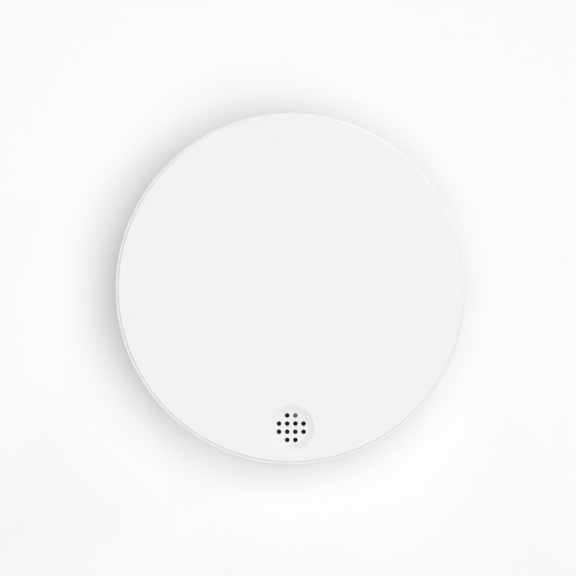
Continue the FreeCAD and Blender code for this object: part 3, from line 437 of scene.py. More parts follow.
def tube(path, across, radius, count=12):
    """Round section carried along a path: its sides are square to the path and to one fixed direction."""
    path = np.asarray(path, float)
    way = np.gradient(path, axis=0)
    way /= np.linalg.norm(way, axis=1, keepdims=True)
    side = np.cross(way, across)
    side /= np.linalg.norm(side, axis=1, keepdims=True)
    up = np.cross(way, side)
    angle = turn_angles(count)[None, :, None]
    return skin(path[:, None] + radius * (np.cos(angle) * side[:, None] + np.sin(angle) * up[:, None]))


def coil_path(turns, start_r, end_r, length, leg, per_turn=40):
    """Line of a coil about X whose radius changes steadily, with straight legs along its end directions."""
    share = np.linspace(0, 1, round(turns * per_turn) + 1)
    angle = 2 * math.pi * turns * share
    radius = start_r + (end_r - start_r) * share
    line = np.stack([length * share, radius * np.cos(angle), radius * np.sin(angle)], 1)
    if not leg:
        return line
    pitch = length / turns / (2 * math.pi)
    first = np.array([pitch, 0, start_r]) / math.hypot(pitch, start_r)
    last = np.array([pitch, 0, -end_r]) / math.hypot(pitch, end_r)
    reach = np.linspace(0, leg, 8)[1:, None]
    return np.vstack([line[0] - first * reach[::-1], line, line[-1] + last * reach])


def ribbon(line, width, low, high, closed=False):
    """Flat strip between two levels along a line of (x, y) points, mitred at its corners:
    each point goes out by half the width, divided by the cosine of half the corner's turn."""
    line = np.asarray(line, float)
    ahead = (np.roll(line, -1, axis=0) if closed else np.vstack([line[1:], 2 * line[-1] - line[-2]])) - line
    ahead /= np.linalg.norm(ahead, axis=1, keepdims=True)
    behind = np.roll(ahead, 1, axis=0)
    if not closed:
        behind[0] = ahead[0]
    left = np.stack([-ahead[:, 1], ahead[:, 0]], 1)
    out = left + np.stack([-behind[:, 1], behind[:, 0]], 1)
    out /= np.linalg.norm(out, axis=1, keepdims=True)
    out *= (width / 2 / np.sum(out * left, axis=1))[:, None]
    rings = np.empty((len(line), 4, 3))
    rings[:, [0, 3], :2] = (line + out)[:, None]
    rings[:, [1, 2], :2] = (line - out)[:, None]
    rings[:, :2, 2] = high
    rings[:, 2:, 2] = low
    return skin(rings, closed)


def joined(*forms):
    """Several forms as one."""
    points, faces, start = [], [], 0
    for form_points, form_faces in forms:
        points.append(form_points)
        faces += [[index + start for index in face] for face in form_faces]
        start += len(form_points)
    return np.vstack(points), faces


def repeated(form, places):
    """Copies of a form, each moved by an (x, y) or (x, y, z) offset."""
    places = np.asarray(places, float)
    if places.shape[1] == 2:
        places = np.column_stack([places, np.zeros(len(places))])
    points, faces = form
    count = len(points)
    faces = [[index + count * copy for index in face] for copy in range(len(places)) for face in faces]
    return (places[:, None] + points[None]).reshape(-1, 3), faces


def spun(form, degrees):
    """Form turned about the Z axis: its points times the turn's matrix."""
    points, faces = form
    c, s = math.cos(math.radians(degrees)), math.sin(math.radians(degrees))
    return points @ np.array([[c, s, 0], [-s, c, 0], [0, 0, 1]]), faces


def sides(x):
    """Offsets to the left and the right."""
    return [(-x, 0), (x, 0)]


def ends(y):
    """Offsets down and up."""
    return [(0, -y), (0, y)]


def corners(x, y):
    """Offsets to the four corners."""
    return [(-x, -y), (-x, y), (x, -y), (x, y)]


def spread(places, offsets):
    """Every place, moved by every offset."""
    return (np.array(places, float)[:, None] + np.array(offsets, float)).reshape(-1, 2)


def blocks_at(places, *shape, **options):
    """Equal rounded blocks, centred on places."""
    return repeated(block_at(*shape, **options), places)


def rings_at(places, radius, width, level, height, count=40):
    """Equal flat rings, centred on places."""
    low, high = radius - width / 2, radius + width / 2
    profile = [(high, level), (high, level + height), (low, level + height), (low, level)]
    return repeated(turned(profile, count=count, loop=True), places)


def outlines_at(places, size, width):
    """Printed outlines of equal rectangles on the board, centred on places."""
    x, y = size[0] / 2, size[1] / 2
    return repeated(ribbon([(-x, -y), (x, -y), (x, y), (-x, y)], width, INK_Z, INK_Z + INK, True), places)


def solder_cone(places, base, inner, outer, height):
    """Solder that wets pins: its radius falls from outer to inner as a quarter circle, hollow to the air."""
    angle = np.linspace(0, math.pi / 2, 6)
    radius = outer - (outer - inner) * np.sin(angle)
    level = base + height * (1 - np.cos(angle))
    return repeated(turned(np.column_stack([radius, level]), count=20), places)


def solder_bar(start, end, out, reach, height):
    """Solder along a terminal's edge: a hollow quarter-circle section carried from start to end."""
    angle = np.linspace(math.pi / 2, 0, 5)
    across = np.append(0.0, reach * (1 - np.sin(angle)))
    rings = np.empty((2, len(across), 3))
    rings[..., :2] = np.array([start, end], float)[:, None] + across[:, None] * np.array(out, float)
    rings[..., 2] = SOLDER_Z + np.append(0.0, height * (1 - np.cos(angle)))
    return skin(rings)


def fillets(places, offset, half, reach, height, upright=False):
    """Solder bars to the left and right of each place, or where upright, below and above it."""
    bars = []
    for side in (-1, 1):
        line, out = np.array([(side * offset, -half), (side * offset, half)]), (side, 0)
        if upright:
            line, out = line[:, ::-1], (0, side)
        bars.append(solder_bar(*line, out, reach, height))
    return repeated(joined(*bars), places)


# Pieces

def smooth(mesh, angle):
    """Smooth shading, with edges sharper than the angle left sharp."""
    mesh.polygons.foreach_set("use_smooth", np.ones(len(mesh.polygons), bool))
    mesh.set_sharp_from_angle(angle=math.radians(angle))


def new_object(name, data):
    """Object in the scene for a mesh, text, light or camera."""
    item = bpy.data.objects.new(name, data)
    bpy.context.scene.collection.objects.link(item)
    return item


def put(name, mesh, materials, body, replaces):
    """Object for a finished mesh, riding on its body."""
    for material in materials:
        mesh.materials.append(material)
    piece = new_object(name, mesh)
    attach(piece, body)
    if replaces:
        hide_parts(*replaces)
    return piece


def outward(mesh):
    """Turns the faces of closed shells outwards."""
    work = bmesh.new()
    work.from_mesh(mesh)
    bmesh.ops.recalc_face_normals(work, faces=work.faces)
    work.to_mesh(mesh)
    work.free()


def make_piece(name, form, material, body="root", replaces=(), sharp=40.0):
    """Object for a closed form, with its faces turned outwards."""
    points, faces = form
    mesh = bpy.data.meshes.new(name)
    mesh.from_pydata(points * MM, [], faces)
    outward(mesh)
    smooth(mesh, sharp)
    return put(name, mesh, [material], body, replaces)


def merged_mesh(node, name):
    """Node's triangles with their shared corners merged and its flat areas made single faces."""
    source = NODES[node].data
    points = np.empty(len(source.vertices) * 3, np.float32)
    source.vertices.foreach_get("co", points)
    source.calc_loop_triangles()
    loops = np.empty(len(source.loop_triangles) * 3, np.int32)
    source.loop_triangles.foreach_get("vertices", loops)
    grid = np.round(points.reshape(-1, 3) / (0.0002 * MM)).astype(np.int64)
    _, first, place = np.unique(grid, axis=0, return_index=True, return_inverse=True)
    triangles = place.reshape(-1)[loops].reshape(-1, 3)
    whole = (triangles[:, 0] != triangles[:, 1]) & (triangles[:, 1] != triangles[:, 2])
    whole &= triangles[:, 2] != triangles[:, 0]
    mesh = bpy.data.meshes.new(name)
    mesh.from_pydata(points.reshape(-1, 3)[first], [], triangles[whole].tolist())
    work = bmesh.new()
    work.from_mesh(mesh)
    bmesh.ops.dissolve_limit(work, angle_limit=math.radians(0.4), verts=work.verts, edges=work.edges)
    work.to_mesh(mesh)
    work.free()
    return mesh


def dressed(node, material, name, bevel=0.0, sharp=30.0, edge_material=None):
    """Finer copy of a node: merged, with its edges broken and its flat faces kept flat in the shading."""
    mesh = merged_mesh(node, name)
    materials = [material]
    if edge_material:
        upright = np.empty(len(mesh.polygons) * 3)
        mesh.polygons.foreach_get("normal", upright)
        steep = np.abs(upright.reshape(-1, 3)[:, 2]) < 0.5
        mesh.polygons.foreach_set("material_index", steep.astype(np.int32))
        materials.append(edge_material)
    smooth(mesh, sharp)
    piece = put(name, mesh, materials, BODY_OF[node], (node,))
    if bevel:
        rounding = piece.modifiers.new("broken_edges", "BEVEL")
        rounding.width = bevel * MM
        rounding.segments = 2
        rounding.limit_method = "ANGLE"
        rounding.angle_limit = math.radians(40)
    flat = piece.modifiers.new("flat_faces", "WEIGHTED_NORMAL")
    flat.keep_sharp = True


def box_of(node):
    """Lowest and highest corner of a node, in millimetres."""
    low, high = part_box(node)
    return np.array(low) / MM, np.array(high) / MM


def letters(text, size, place, level, thickness):
    """Upright letters on a level, centred on a place."""
    curve = bpy.data.curves.new("letters", "FONT")
    curve.body = text
    curve.size = size
    curve.extrude = thickness / 2
    curve.align_x = "CENTER"
    curve.align_y = "CENTER"
    holder = new_object("letters", curve)
    mesh = bpy.data.meshes.new_from_object(holder)
    points = np.empty(len(mesh.vertices) * 3, np.float32)
    mesh.vertices.foreach_get("co", points)
    points = points.reshape(-1, 3) + np.array([*place, level + thickness / 2])
    faces = [list(face.vertices) for face in mesh.polygons]
    bpy.data.objects.remove(holder)
    bpy.data.curves.remove(curve)
    bpy.data.meshes.remove(mesh)
    return points, faces


def plus_or_minus(place, size, width, level, height, plus=True):
    """Raised plus or minus: a quarter of the plus's outline, or half the minus's, turned until it closes."""
    a, b = size / 2, width / 2
    part = np.array([(a, -b), (a, b), (b, b)] if plus else [(a, -b), (a, b)])
    outline = np.vstack([part @ np.array([(c, s), (-s, c)]) for c, s in ways(turn_angles(4 if plus else 2))])
    rings = np.empty((2, len(outline), 3))
    rings[..., :2] = outline + np.array(place)
    rings[0, :, 2], rings[1, :, 2] = level, level + height
    return skin(rings)


# Case

def make_case():
    """Mouldings of the case, the rings that ejector pins leave in them, and the cell's polarity signs."""
    abs_cover = moulded_abs("moulded_abs_cover", "E6E6E6")
    abs_base = moulded_abs("moulded_abs_base", "E6E6E5")
    dressed("front_cover", abs_cover, "cover_moulding", sharp=DISH_EDGE_ANGLE)
    for node, name in (("mounting_base", "base_moulding"), ("base_spigot", "spigot_moulding"),
                       ("cell_cradle", "cradle_moulding")):
        dressed(node, abs_base, name)
    dressed("cover_latch", moulded_acetal(), "latch_moulding", 0.12)
    marks = rings_at(COVER_EJECTORS, 2.2, EJECTOR_LINE, INNER_FACE_Z - 0.04, 0.06)
    make_piece("cover_ejector_marks", marks, abs_cover, "cover")
    marks = rings_at(BASE_EJECTORS, 2.0, EJECTOR_LINE, PLATE_Z - 0.02, 0.06)
    make_piece("base_ejector_marks", marks, abs_base, "root")
    signs = [plus_or_minus((x, CELL_AXIS[0]), 3.6, 0.8, PLATE_Z - 0.05, 0.35, x > 0)
             for x in (POLARITY_X, -POLARITY_X)]
    make_piece("moulded_polarity_marks", joined(*signs), abs_base, "root")


# Sound path

def woven_disc():
    """Cloth between the light pipe's hole and the disc's edge: at each angle, points run from one to the
    other. A thread's height is the root of a sine across it, lifted and sunk by a sine along it, and the
    two sets of threads lie over and under each other in turn."""
    hole = np.array(LAMP_OFFSET)
    way = ways(turn_angles(360))
    reach = np.min([circle_reach(hole, way, (0, 0), MESH_RADIUS - 0.02),
                    circle_reach(hole, way, (0, -GRILLE_Y), FLAT_FACE_RADIUS - 0.02)], axis=0)
    share = np.linspace(0, 1, 130)[:, None]
    radius = (MESH_PIPE_RADIUS + 0.02) * (1 - share) + reach * share
    at = hole + radius[..., None] * way
    cell = at / THREAD_PITCH
    across = np.abs(np.sin(math.pi * cell)) ** 0.5
    parity = np.where(np.floor(cell) % 2 == 0, 1.0, -1.0)
    warp = across[..., 0] + parity[..., 0] * np.sin(math.pi * cell[..., 1])
    weft = across[..., 1] - parity[..., 1] * np.sin(math.pi * cell[..., 0])
    rings = np.empty((*radius.shape, 3))
    rings[..., :2] = at + np.array([0, GRILLE_Y])
    rings[..., 2] = INNER_FACE_Z - MESH_THICKNESS / 2 - 0.03 + THREAD_HEIGHT * np.maximum(warp, weft)
    return rings


def circle_reach(start, way, centre, radius):
    """Distance from a point inside a circle to the circle, along each direction."""
    offset = np.array(start, float) - np.array(centre, float)
    along = way @ offset
    return -along + np.sqrt(along ** 2 - offset @ offset + radius ** 2)


def make_acoustic_mesh():
    """Open cloth: the two faces that would close the disc's edge and the light pipe's hole are left out."""
    points, faces = skin(woven_disc()[::-1])
    mesh = bpy.data.meshes.new("woven_acoustic_mesh")
    mesh.from_pydata(points * MM, [], faces[:-2])
    smooth(mesh, 60)
    cloth = [woven_polyester()]
    piece = put("woven_acoustic_mesh", mesh, cloth, "cover", ("acoustic_mesh",))
    wall = piece.modifiers.new("thread_thickness", "SOLIDIFY")
    wall.thickness = 0.03 * MM
    wall.offset = 0.0


def make_gasket():
    """Foam ring: a section with four quarter-circle corners, carried round and kept inside the flat face."""
    inner, outer = GASKET_RADII
    low, high = GASKET_LEVELS
    rise = np.linspace(0, math.pi / 2, 4)
    inset = GASKET_EDGE * (1 - np.cos(rise))
    drop = GASKET_EDGE * (1 - np.sin(rise))
    inset = np.concatenate([inset[::-1], inset])
    level = np.concatenate([low + drop[::-1], high - drop])
    section = [*zip(outer - inset, level), *zip(inner + inset, level[::-1])]
    points, faces = turned(section, (0, GRILLE_Y, 0), count=120, loop=True)
    far = np.hypot(points[:, 0], points[:, 1])
    points[:, :2] *= np.minimum(1.0, (FLAT_FACE_RADIUS - 0.01) / far)[:, None]
    piece = make_piece("foam_gasket", (points, faces), closed_cell_foam(), "cover",
                       ("acoustic_gasket",), 60)


def make_microphone(tin, melted, aluminium):
    """Capsule, boot and joints. All are profiles turned about Z but the boot and the pins."""
    low, high = box_of("microphone_capsule")
    x, y = (low + high)[:2] / 2
    bottom, top = low[2], high[2]
    r = (high[0] - low[0]) / 2
    can = [(r - 0.45, bottom), (r - 0.2, bottom + 0.02), (r, bottom + 0.25), (r, top - 0.3),
           (r - 0.09, top - 0.09), (r - 0.3, top), (r - 0.55, top), (r - 0.6, top - 0.12)]
    make_piece("capsule_can", turned(can, (x, y, 0), count=64), aluminium,
               replaces=("microphone_capsule",))
    r -= 0.62
    felt = [(r, top - 0.2), (r, top - 0.06), (r - 0.1, top - 0.01), (r * 0.5, top + 0.01)]
    make_piece("capsule_felt", turned(felt, (x, y, 0), count=48), press_felt())
    silicone = moulded_silicone()
    dressed("microphone_boot", silicone, "boot_moulding", 0.12)
    low, high = box_of("microphone_boot")
    r = (high[0] - low[0]) / 2
    rib = [(r - 0.1, -0.35), (r + 0.1, -0.25), (r + 0.16, 0), (r + 0.1, 0.25), (r - 0.1, 0.35)]
    ribs = repeated(turned(rib, count=80, loop=True), [(0, GRILLE_Y, z) for z in BOOT_RIB_LEVELS])
    make_piece("boot_ribs", ribs, silicone)
    dressed("microphone_leads", tin, "capsule_pins", 0.04)
    pins = spread([(x, y)], sides(1.25))
    make_piece("capsule_joints", solder_cone(pins, BOARD_BACK_Z, 0.25, 0.75, -0.7), melted)
    stub = turned([(0.2, BOARD_BACK_Z - 0.9), (0.25, BOARD_BACK_Z - 0.8), (0.25, BOARD_BACK_Z)], count=16)
    make_piece("capsule_pin_ends", repeated(stub, pins), tin)


def make_lamp(tin):
    """White lamp body with tinned ends and a low lens, and the light pipe above it."""
    low, high = box_of("status_lamp")
    x, y = (low + high)[:2] / 2
    top = high[2]
    resin = glass_filled_nylon("moulded_lamp_white", "E2E0D6", "EDEBE2")
    body = rounded_block(low + (0.25, 0, 0), high - (0.25, 0, 0.08), 0.1, 0.06)
    make_piece("lamp_body", body, resin, replaces=("status_lamp",))
    size = (0.3, high[1] - low[1] - 0.1, 0.6 * (top - low[2]))
    terminals = blocks_at([(low[0] + 0.15, y), (high[0] - 0.15, y)], size, low[2], 0.06, 0.04)
    make_piece("lamp_terminals", terminals, tin)
    lens = turned([(0.42, top - 0.1), (0.4, top - 0.04), (0.3, top - 0.005), (0.12, top)], (x, y, 0), count=32)
    make_piece("lamp_lens", lens, clear_resin())
    dressed("light_pipe", smoky_acrylic(), "light_pipe_polished", 0.1)


# Cell

def make_cell(nickel, ink):
    """Sleeve: profile carried round X, with the can's crimp groove near the front. Its ends are folded in
    and crinkled: they go in by a sine of 22 waves, the more the nearer they lie to the axis."""
    low, high = box_of("battery_cell")
    back, front = low[0], high[0]
    centre = (0, *CELL_AXIS)
    r = CELL_RADIUS
    profile = [(r - 1.5, back + 0.05), (r - 1.2, back), (r - 0.6, back), (r - 0.3, back + 0.08),
               (r - 0.08, back + 0.3), (r, back + 0.6), (r, back + 6), (r, 0), (r, front - 5.2),
               (r, front - 4.2), (r - 0.12, front - 3.9), (r - 0.32, front - 3.5), (r - 0.32, front - 3.0),
               (r - 0.12, front - 2.6), (r, front - 2.3), (r, front - 0.6), (r - 0.08, front - 0.3),
               (r - 0.3, front - 0.08), (r - 0.6, front), (r - 1.6, front), (r - 2.0, front - 0.05),
               (r - 2.0, front - 0.3), (r - 2.3, front - 0.3)]
    points, faces = turned(profile, centre, "x", 144)
    radial = points[:, 1:] - CELL_AXIS
    angle = np.arctan2(radial[:, 1], radial[:, 0])
    folded = np.clip((r - 0.05 - np.linalg.norm(radial, axis=1)) / 1.2, 0, 1)
    crinkle = 0.06 * folded * np.sin(22 * angle + 3 * np.sin(3 * angle))
    points[:, 0] += np.where(points[:, 0] < 0, 1, -1) * np.maximum(crinkle, 0)
    make_piece("cell_sleeve", (points, faces), shrink_sleeve(), replaces=("battery_cell",))
    bottom = [(0.4, back - 0.01), (r - 3.4, back - 0.01), (r - 3.1, back + 0.06), (r - 1.4, back + 0.06),
              (r - 1.4, back + 0.3)]
    make_piece("cell_can_bottom", turned(bottom, centre, "x", 96), nickel)
    insulator = [(3.4, front - 0.28), (r - 2.05, front - 0.28), (r - 2.05, front - 0.12), (3.6, front - 0.06),
                 (3.4, front - 0.1)]
    make_piece("cell_top_ring", turned(insulator, centre, "x", 80, loop=True),
               glass_filled_nylon("moulded_insulator", "D8D5CA", "E2DFD5"))
    dressed("battery_positive_cap", nickel, "cell_cap")
    bars = [wrapped_bar(*bar) for bar in ((13.6, 3.2, 0.8), (-12.4, 3.2, 0.8), (13.6, 0.8, 3.2))]
    make_piece("sleeve_polarity_print", joined(*bars), ink)


def wrapped_bar(x, length, width):
    """Thin printed bar on the cell's sleeve: angle = distance across the bar over the sleeve's radius."""
    y, z = CELL_AXIS
    angle = np.linspace(-width / 2, width / 2, 9) / CELL_RADIUS
    rings = np.empty((9, 4, 3))
    rings[:, [0, 1], 0] = x - length / 2
    rings[:, [2, 3], 0] = x + length / 2
    for columns, r in (([0, 3], CELL_RADIUS - 0.05), ([1, 2], CELL_RADIUS + INK)):
        rings[:, columns, 1] = y + (r * np.sin(angle))[:, None]
        rings[:, columns, 2] = z + (r * np.cos(angle))[:, None]
    return skin(rings)


# Springs and antenna

def coil(spec, start, count, upright=False):
    """Wire of a coil along X, or where upright, along Z."""
    *path_spec, wire, leg = spec
    path, across = coil_path(*path_spec, leg), (1, 0, 0)
    if upright:
        path, across = path[:, [1, 2, 0]], (0, 0, 1)
    return tube(path + np.array(start), across, wire / 2, count)


def make_coils():
    """Cell spring, tamper spring, which gets a mesh of its own, and antenna."""
    steel = drawn_wire("drawn_spring_steel", "B9B9B8", 0.3)
    make_piece("cell_spring_wire", coil(CELL_SPRING, CELL_SPRING_START, 16), steel,
               replaces=("battery_spring",), sharp=60)
    spring = coil(TAMPER_SPRING, (*TAMPER_PLACE, TAMPER_SPRING_BASE), 12, upright=True)
    piece = make_piece("tamper_spring_wire", spring, steel, replaces=("tamper_spring",),
                       sharp=60)
    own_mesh(piece)
    copper = drawn_wire("enamelled_copper", "C77F4A", 0.28, Coat_Weight=0.6, Coat_Roughness=0.1)
    make_piece("antenna_wire", coil(ANTENNA, ANTENNA_START, 14), copper,
               replaces=("coil_antenna",), sharp=60)


# Circuit board: where its parts, pads and prints lie

TRACES = (                    # width, and points
    (0.8, ((20.5, 6.2), (22.2, 4.5), (22.2, -9.0), (20.0, -11.2), (20.0, -18.5), (16.5, -22.0),
           (13.6, -22.0))),
    (0.8, ((-20.5, 6.2), (-21.6, 5.1), (-21.6, -9.2))),
    (0.8, ((-7.9, -12.6), (-5.54, -14.96), (-5.54, -18.0))),
    (0.5, ((-17.0, -18.4), (-17.0, -12.2), (-14.0, -9.2), (-14.0, -5.2))),
    (0.25, ((-5.0, -5.0), (-5.0, -6.2), (-4.0, -7.2), (5.4, -7.2))),
    (0.25, ((-5.8, -5.0), (-5.8, -6.1), (-4.1, -7.8), (5.4, -7.8))),
    (0.25, ((-6.6, -5.0), (-6.6, -6.0), (-4.2, -8.4), (5.4, -8.4))),
    (0.3, ((2.5, -4.0), (5.4, -4.0))),
    (0.3, ((2.5, -5.7), (5.4, -5.7))),
    (0.25, ((10.69, -0.9), (10.69, -1.8))),
    (0.25, ((13.23, -0.9), (12.9, -1.23), (12.9, -2.4), (12.6, -2.7))),
    (0.25, ((13.4, -6.8), (12.6, -6.8))),
    (0.25, ((7.2, -9.0), (7.2, -11.4), (0.81, -17.79), (0.81, -18.2))),
    (0.25, ((6.4, -9.0), (6.4, -10.93), (-0.46, -17.79), (-0.46, -18.2))),
    (0.25, ((8.0, -9.0), (8.0, -13.2), (3.9, -17.3), (3.9, -20.3))),
    (0.3, ((25.4, -10.85), (23.2, -10.85))),
    (0.3, ((25.4, -15.35), (22.4, -15.35))),
    (0.3, ((18.2, -12.2), (15.6, -12.2), (12.0, -8.6))),
    (0.3, ((18.2, -14.4), (10.6, -14.4), (9.4, -13.2), (9.4, -9.0))),
    (0.25, ((-6.81, -24.9), (-6.81, -25.6), (-7.26, -26.05), (-8.4, -26.05))),
    (0.25, ((-5.54, -24.9), (-5.54, -27.2), (-3.0, -29.7))),
    (0.25, ((-4.27, -24.9), (-4.27, -26.4), (-1.4, -29.2))),
    (0.25, ((0.81, -24.9), (1.26, -25.35), (2.3, -25.35))),
    (0.25, ((-0.46, -24.9), (-0.46, -25.7), (1.39, -27.55), (2.3, -27.55))),
    (0.5, ((4.3, -20.95), (4.9, -20.95))),
    (0.5, ((6.7, -20.95), (7.7, -21.95), (7.7, -22.3))),
    (0.5, ((12.8, -25.5), (12.8, -26.3))),
    (0.25, ((-16.6, -21.25), (-17.8, -20.05), (-17.8, -19.9))),
    (0.25, ((-16.6, -23.65), (-17.8, -24.85), (-17.8, -27.6), (-16.35, -29.05), (-9.4, -29.05),
            (-7.2, -31.2))),
    (0.25, ((1.0, -29.0), (3.2, -28.4), (4.6, -28.7), (8.8, -32.9), (10.0, -33.4))),
    (0.4, ((27.0, 6.6), (33.0, 6.6), (35.6, 4.0), (35.6, -8.6), (33.8, -10.4))),
    (0.4, ((-27.0, 6.6), (-33.0, 6.6), (-35.6, 4.0), (-35.6, -9.0), (-33.0, -11.6), (-33.0, -13.0))),
)
VIA_PLACES = (
    (-21.6, -9.2), (-7.9, -12.6), (23.2, -10.85), (22.4, -15.35), (18.2, -12.2), (18.2, -14.4), (-7.2, -31.2),
    (10.0, -33.4), (27.0, 6.6), (-27.0, 6.6), (15.0, -18.5), (16.4, -18.5), (17.8, -18.5), (-25.0, -8.0),
    (-26.4, -8.0), (-27.8, -8.0), (4.6, -12.0), (4.6, -13.4), (11.0, -16.6), (12.4, -16.6), (-10.2, -14.4),
    (-11.6, -14.4), (3.2, 2.0), (4.6, 2.0),
)
RIM_VIA_RADIUS = 37.5
RIM_VIA_ANGLES = (196, 205, *range(241, 296, 9), 331, 340)    # degrees; the gaps are clear of other parts
PROCESSOR = (9.0, -5.36)
CRYSTAL = (1.2, -4.86)
RADIO = (-11.3, 1.14)
TEST_SWITCH = (16.5, -4.86)
AMPLIFIER = (-3.0, -21.55)
AMPLIFIER_LEADS = tuple((AMPLIFIER[0] + (i - 3) * 1.27, AMPLIFIER[1]) for i in range(7))
SETTING_SWITCH = (14.5, 2.64)
SLIDERS = tuple((SETTING_SWITCH[0] + (i - 1.5) * 2.54, SETTING_SWITCH[1]) for i in range(4))
RESISTORS = tuple((x, y) for y in (-21.25, -23.65, -26.05) for x in (-15.5, -12.5, -9.5))
CERAMICS = tuple((x, y) for y in (-20.95, -23.15, -25.35, -27.55) for x in (3.2, 5.8))
CANS = ((10.5, -22.75), (12.8, -29.05))
CAN_RADIUS = 2.5
SCREWS = ((-21.92, -21.92), (21.92, -21.92), (0.0, 4.64))
ANTENNA_PADS = ((-32.4, -13.92), (-17.2, -18.72))
ANTENNA_JOINTS = ((-32.45, -13.92), (-17.1, -18.72))
TEST_PADS = ((-24.5, -14.0), (-28.0, -20.5), (-20.0, -28.5), (-16.6, -32.0), (24.4, -27.0), (20.6, -30.0),
             (17.8, -32.8))
PADS = (                      # places, the pads' offsets from there, their size and their corners' radius
    (AMPLIFIER_LEADS, ends(2.75), (0.62, 1.5), 0.1),
    (RESISTORS, sides(0.95), (0.8, 1.35), 0.1),
    (CERAMICS, sides(0.8), (0.8, 0.95), 0.1),
    (CANS, sides(3.1), (1.6, 1.2), 0.1),
    (SLIDERS, ends(4.0), (1.2, 1.5), 0.1),
    ([TEST_SWITCH], corners(3.5, 2.25), (1.3, 1.1), 0.1),
    ([TAMPER_PLACE], corners(4.0, 2.25), (1.3, 1.3), 0.1),
    ([(0, 7.3)], sides(20.6), (3.2, 2.6), 0.2),
)
OUTLINES = (                  # printed boxes: places, size and the line's width
    ([AMPLIFIER], (9.6, 4.3), 0.15), ([PROCESSOR], (8.0, 8.0), 0.15), ([CRYSTAL], (3.2, 3.9), 0.15),
    ([RADIO], (16.2, 13.2), 0.15), ([SETTING_SWITCH], (12.6, 7.3), 0.15), ([TEST_SWITCH], (6.8, 6.8), 0.15),
    ([TAMPER_PLACE], (7.9, 7.9), 0.15), (CANS, (6.1, 6.1), 0.15), (RESISTORS, (3.3, 1.7), 0.12),
    (CERAMICS, (2.5, 1.3), 0.12),
)
PRINTED_RINGS = (             # places, radius, and the line's width and number of points
    ([(0, GRILLE_Y)], 5.4, 0.15, 72), ([(-7.4, -24.6), (4.5, -1.0)], 0.25, 0.2, 16), (SCREWS, 3.3, 0.15, 48),
    (sides(28.0), 4.6, 0.15, 64),
)


def make_board(tin, melted, ink, epoxy):
    """Board with its copper, print, solder and screws."""
    dressed("circuit_board", solder_mask(), "board_laminate", 0.04, edge_material=cut_laminate())
    traces = [ribbon(line, width, BOARD_Z - 0.01, COPPER_Z) for width, line in TRACES]
    make_piece("board_traces", joined(*traces), masked_copper())
    make_vias(epoxy)
    make_pads(tin)
    make_print(ink)
    make_solder(melted)
    dressed("board_screws", tin_plate("zinc_plated_screw", "9A9DA2"), "screw_set", 0.06)


def make_vias(epoxy):
    """Tinned rings, and dark discs in them that paint the shade down their holes."""
    places = np.vstack([VIA_PLACES, RIM_VIA_RADIUS * ways(np.radians(RIM_VIA_ANGLES))])
    profile = [(0.42, BOARD_Z - 0.01), (0.42, BOARD_Z + 0.03), (0.36, COPPER_Z), (0.17, COPPER_Z)]
    rings = repeated(turned(profile, count=20), places)
    make_piece("board_vias", rings, tinned_copper())
    # painted shade: a near-black disc stands in for the shade down each via's hole
    hole = turned([(0.16, BOARD_Z), (0.16, COPPER_Z + 0.004)], count=12)
    make_piece("via_hole_painted_shade", repeated(hole, places), epoxy)


def make_pads(tin):
    """Tinned pads under the parts, round the screws, at the antenna's legs and for test probes."""
    pads = [blocks_at(spread(places, offsets), (*size, PAD_HEIGHT), PAD_Z, corner, 0.01)
            for places, offsets, size, corner in PADS]
    pads.append(rings_at(SCREWS, 2.65, 0.9, PAD_Z, PAD_HEIGHT, 48))
    for places, r in ((TEST_PADS, 0.8), (ANTENNA_PADS, 0.75)):
        disc = turned([(r, PAD_Z), (r, PAD_Z + 0.025), (r - 0.06, PAD_Z + 0.035)], count=28)
        pads.append(repeated(disc, places))
    make_piece("board_pads", joined(*pads), tin)


def make_print(ink):
    """Printed outlines round the parts, and plus and minus beside the cell's contacts."""
    lines = [outlines_at(*outline) for outline in OUTLINES]
    lines += [rings_at(places, radius, width, INK_Z, INK, count)
              for places, radius, width, count in PRINTED_RINGS]
    lines += [plus_or_minus((x, 7.2), 1.8, 0.3, INK_Z, INK, x > 0) for x in (POLARITY_X, -POLARITY_X)]
    make_piece("board_print", joined(*lines), ink)


def make_solder(melted):
    """Fillets at leads, chip ends, contact feet and antenna legs."""
    joints = [fillets(AMPLIFIER_LEADS, 3.0, 0.24, 0.35, 0.16, upright=True),
              fillets(RESISTORS, 1.0, 0.55, 0.3, 0.35), fillets(CERAMICS, 0.8, 0.36, 0.3, 0.5),
              fillets(CANS, 3.3, 0.35, 0.4, 0.2), fillets([(0, 7.4)], 21.7, 1.0, 0.45, 0.38)]
    joints += [solder_bar((19.4 * side, 6.24), (21.6 * side, 6.24), (0, -1), 0.4, 0.38) for side in (-1, 1)]
    joints.append(solder_cone(ANTENNA_JOINTS, SOLDER_Z - 0.02, 0.3, 0.7, 0.75))
    make_piece("board_solder", joined(*joints), melted, sharp=50)


# Parts on the board

def make_shield(steel, epoxy):
    """Can over the radio, with a grid of dark discs where its vents are and dark strips at its four bent
    seams: both are painted shade.
    """
    dressed("radio_shield_can", steel, "radio_shield", 0.08)
    low, high = box_of("radio_shield_can")
    top = high[2]
    xs, ys = np.linspace(low[0] + 2.5, high[0] - 2.5, 6), np.linspace(low[1] + 2.5, high[1] - 2.5, 4)
    # painted shade: near-black discs stand in for the shade inside the vents
    vent = turned([(0.36, top - 0.02), (0.36, top + 0.004)], count=16)
    make_piece("shield_vent_painted_shade", repeated(vent, [(x, y) for x in xs for y in ys]), epoxy)
    # painted shade: near-black strips stand in for the shade in the gaps at the bent seams
    seams = [ribbon([(x, y), (x, y + 0.47)], 0.1, top - 0.03, top + 0.01)
             for y in (low[1] - 0.02, high[1] - 0.45) for x in (low[0] + 5, high[0] - 5)]
    make_piece("shield_seam_painted_shade", joined(*seams), epoxy)


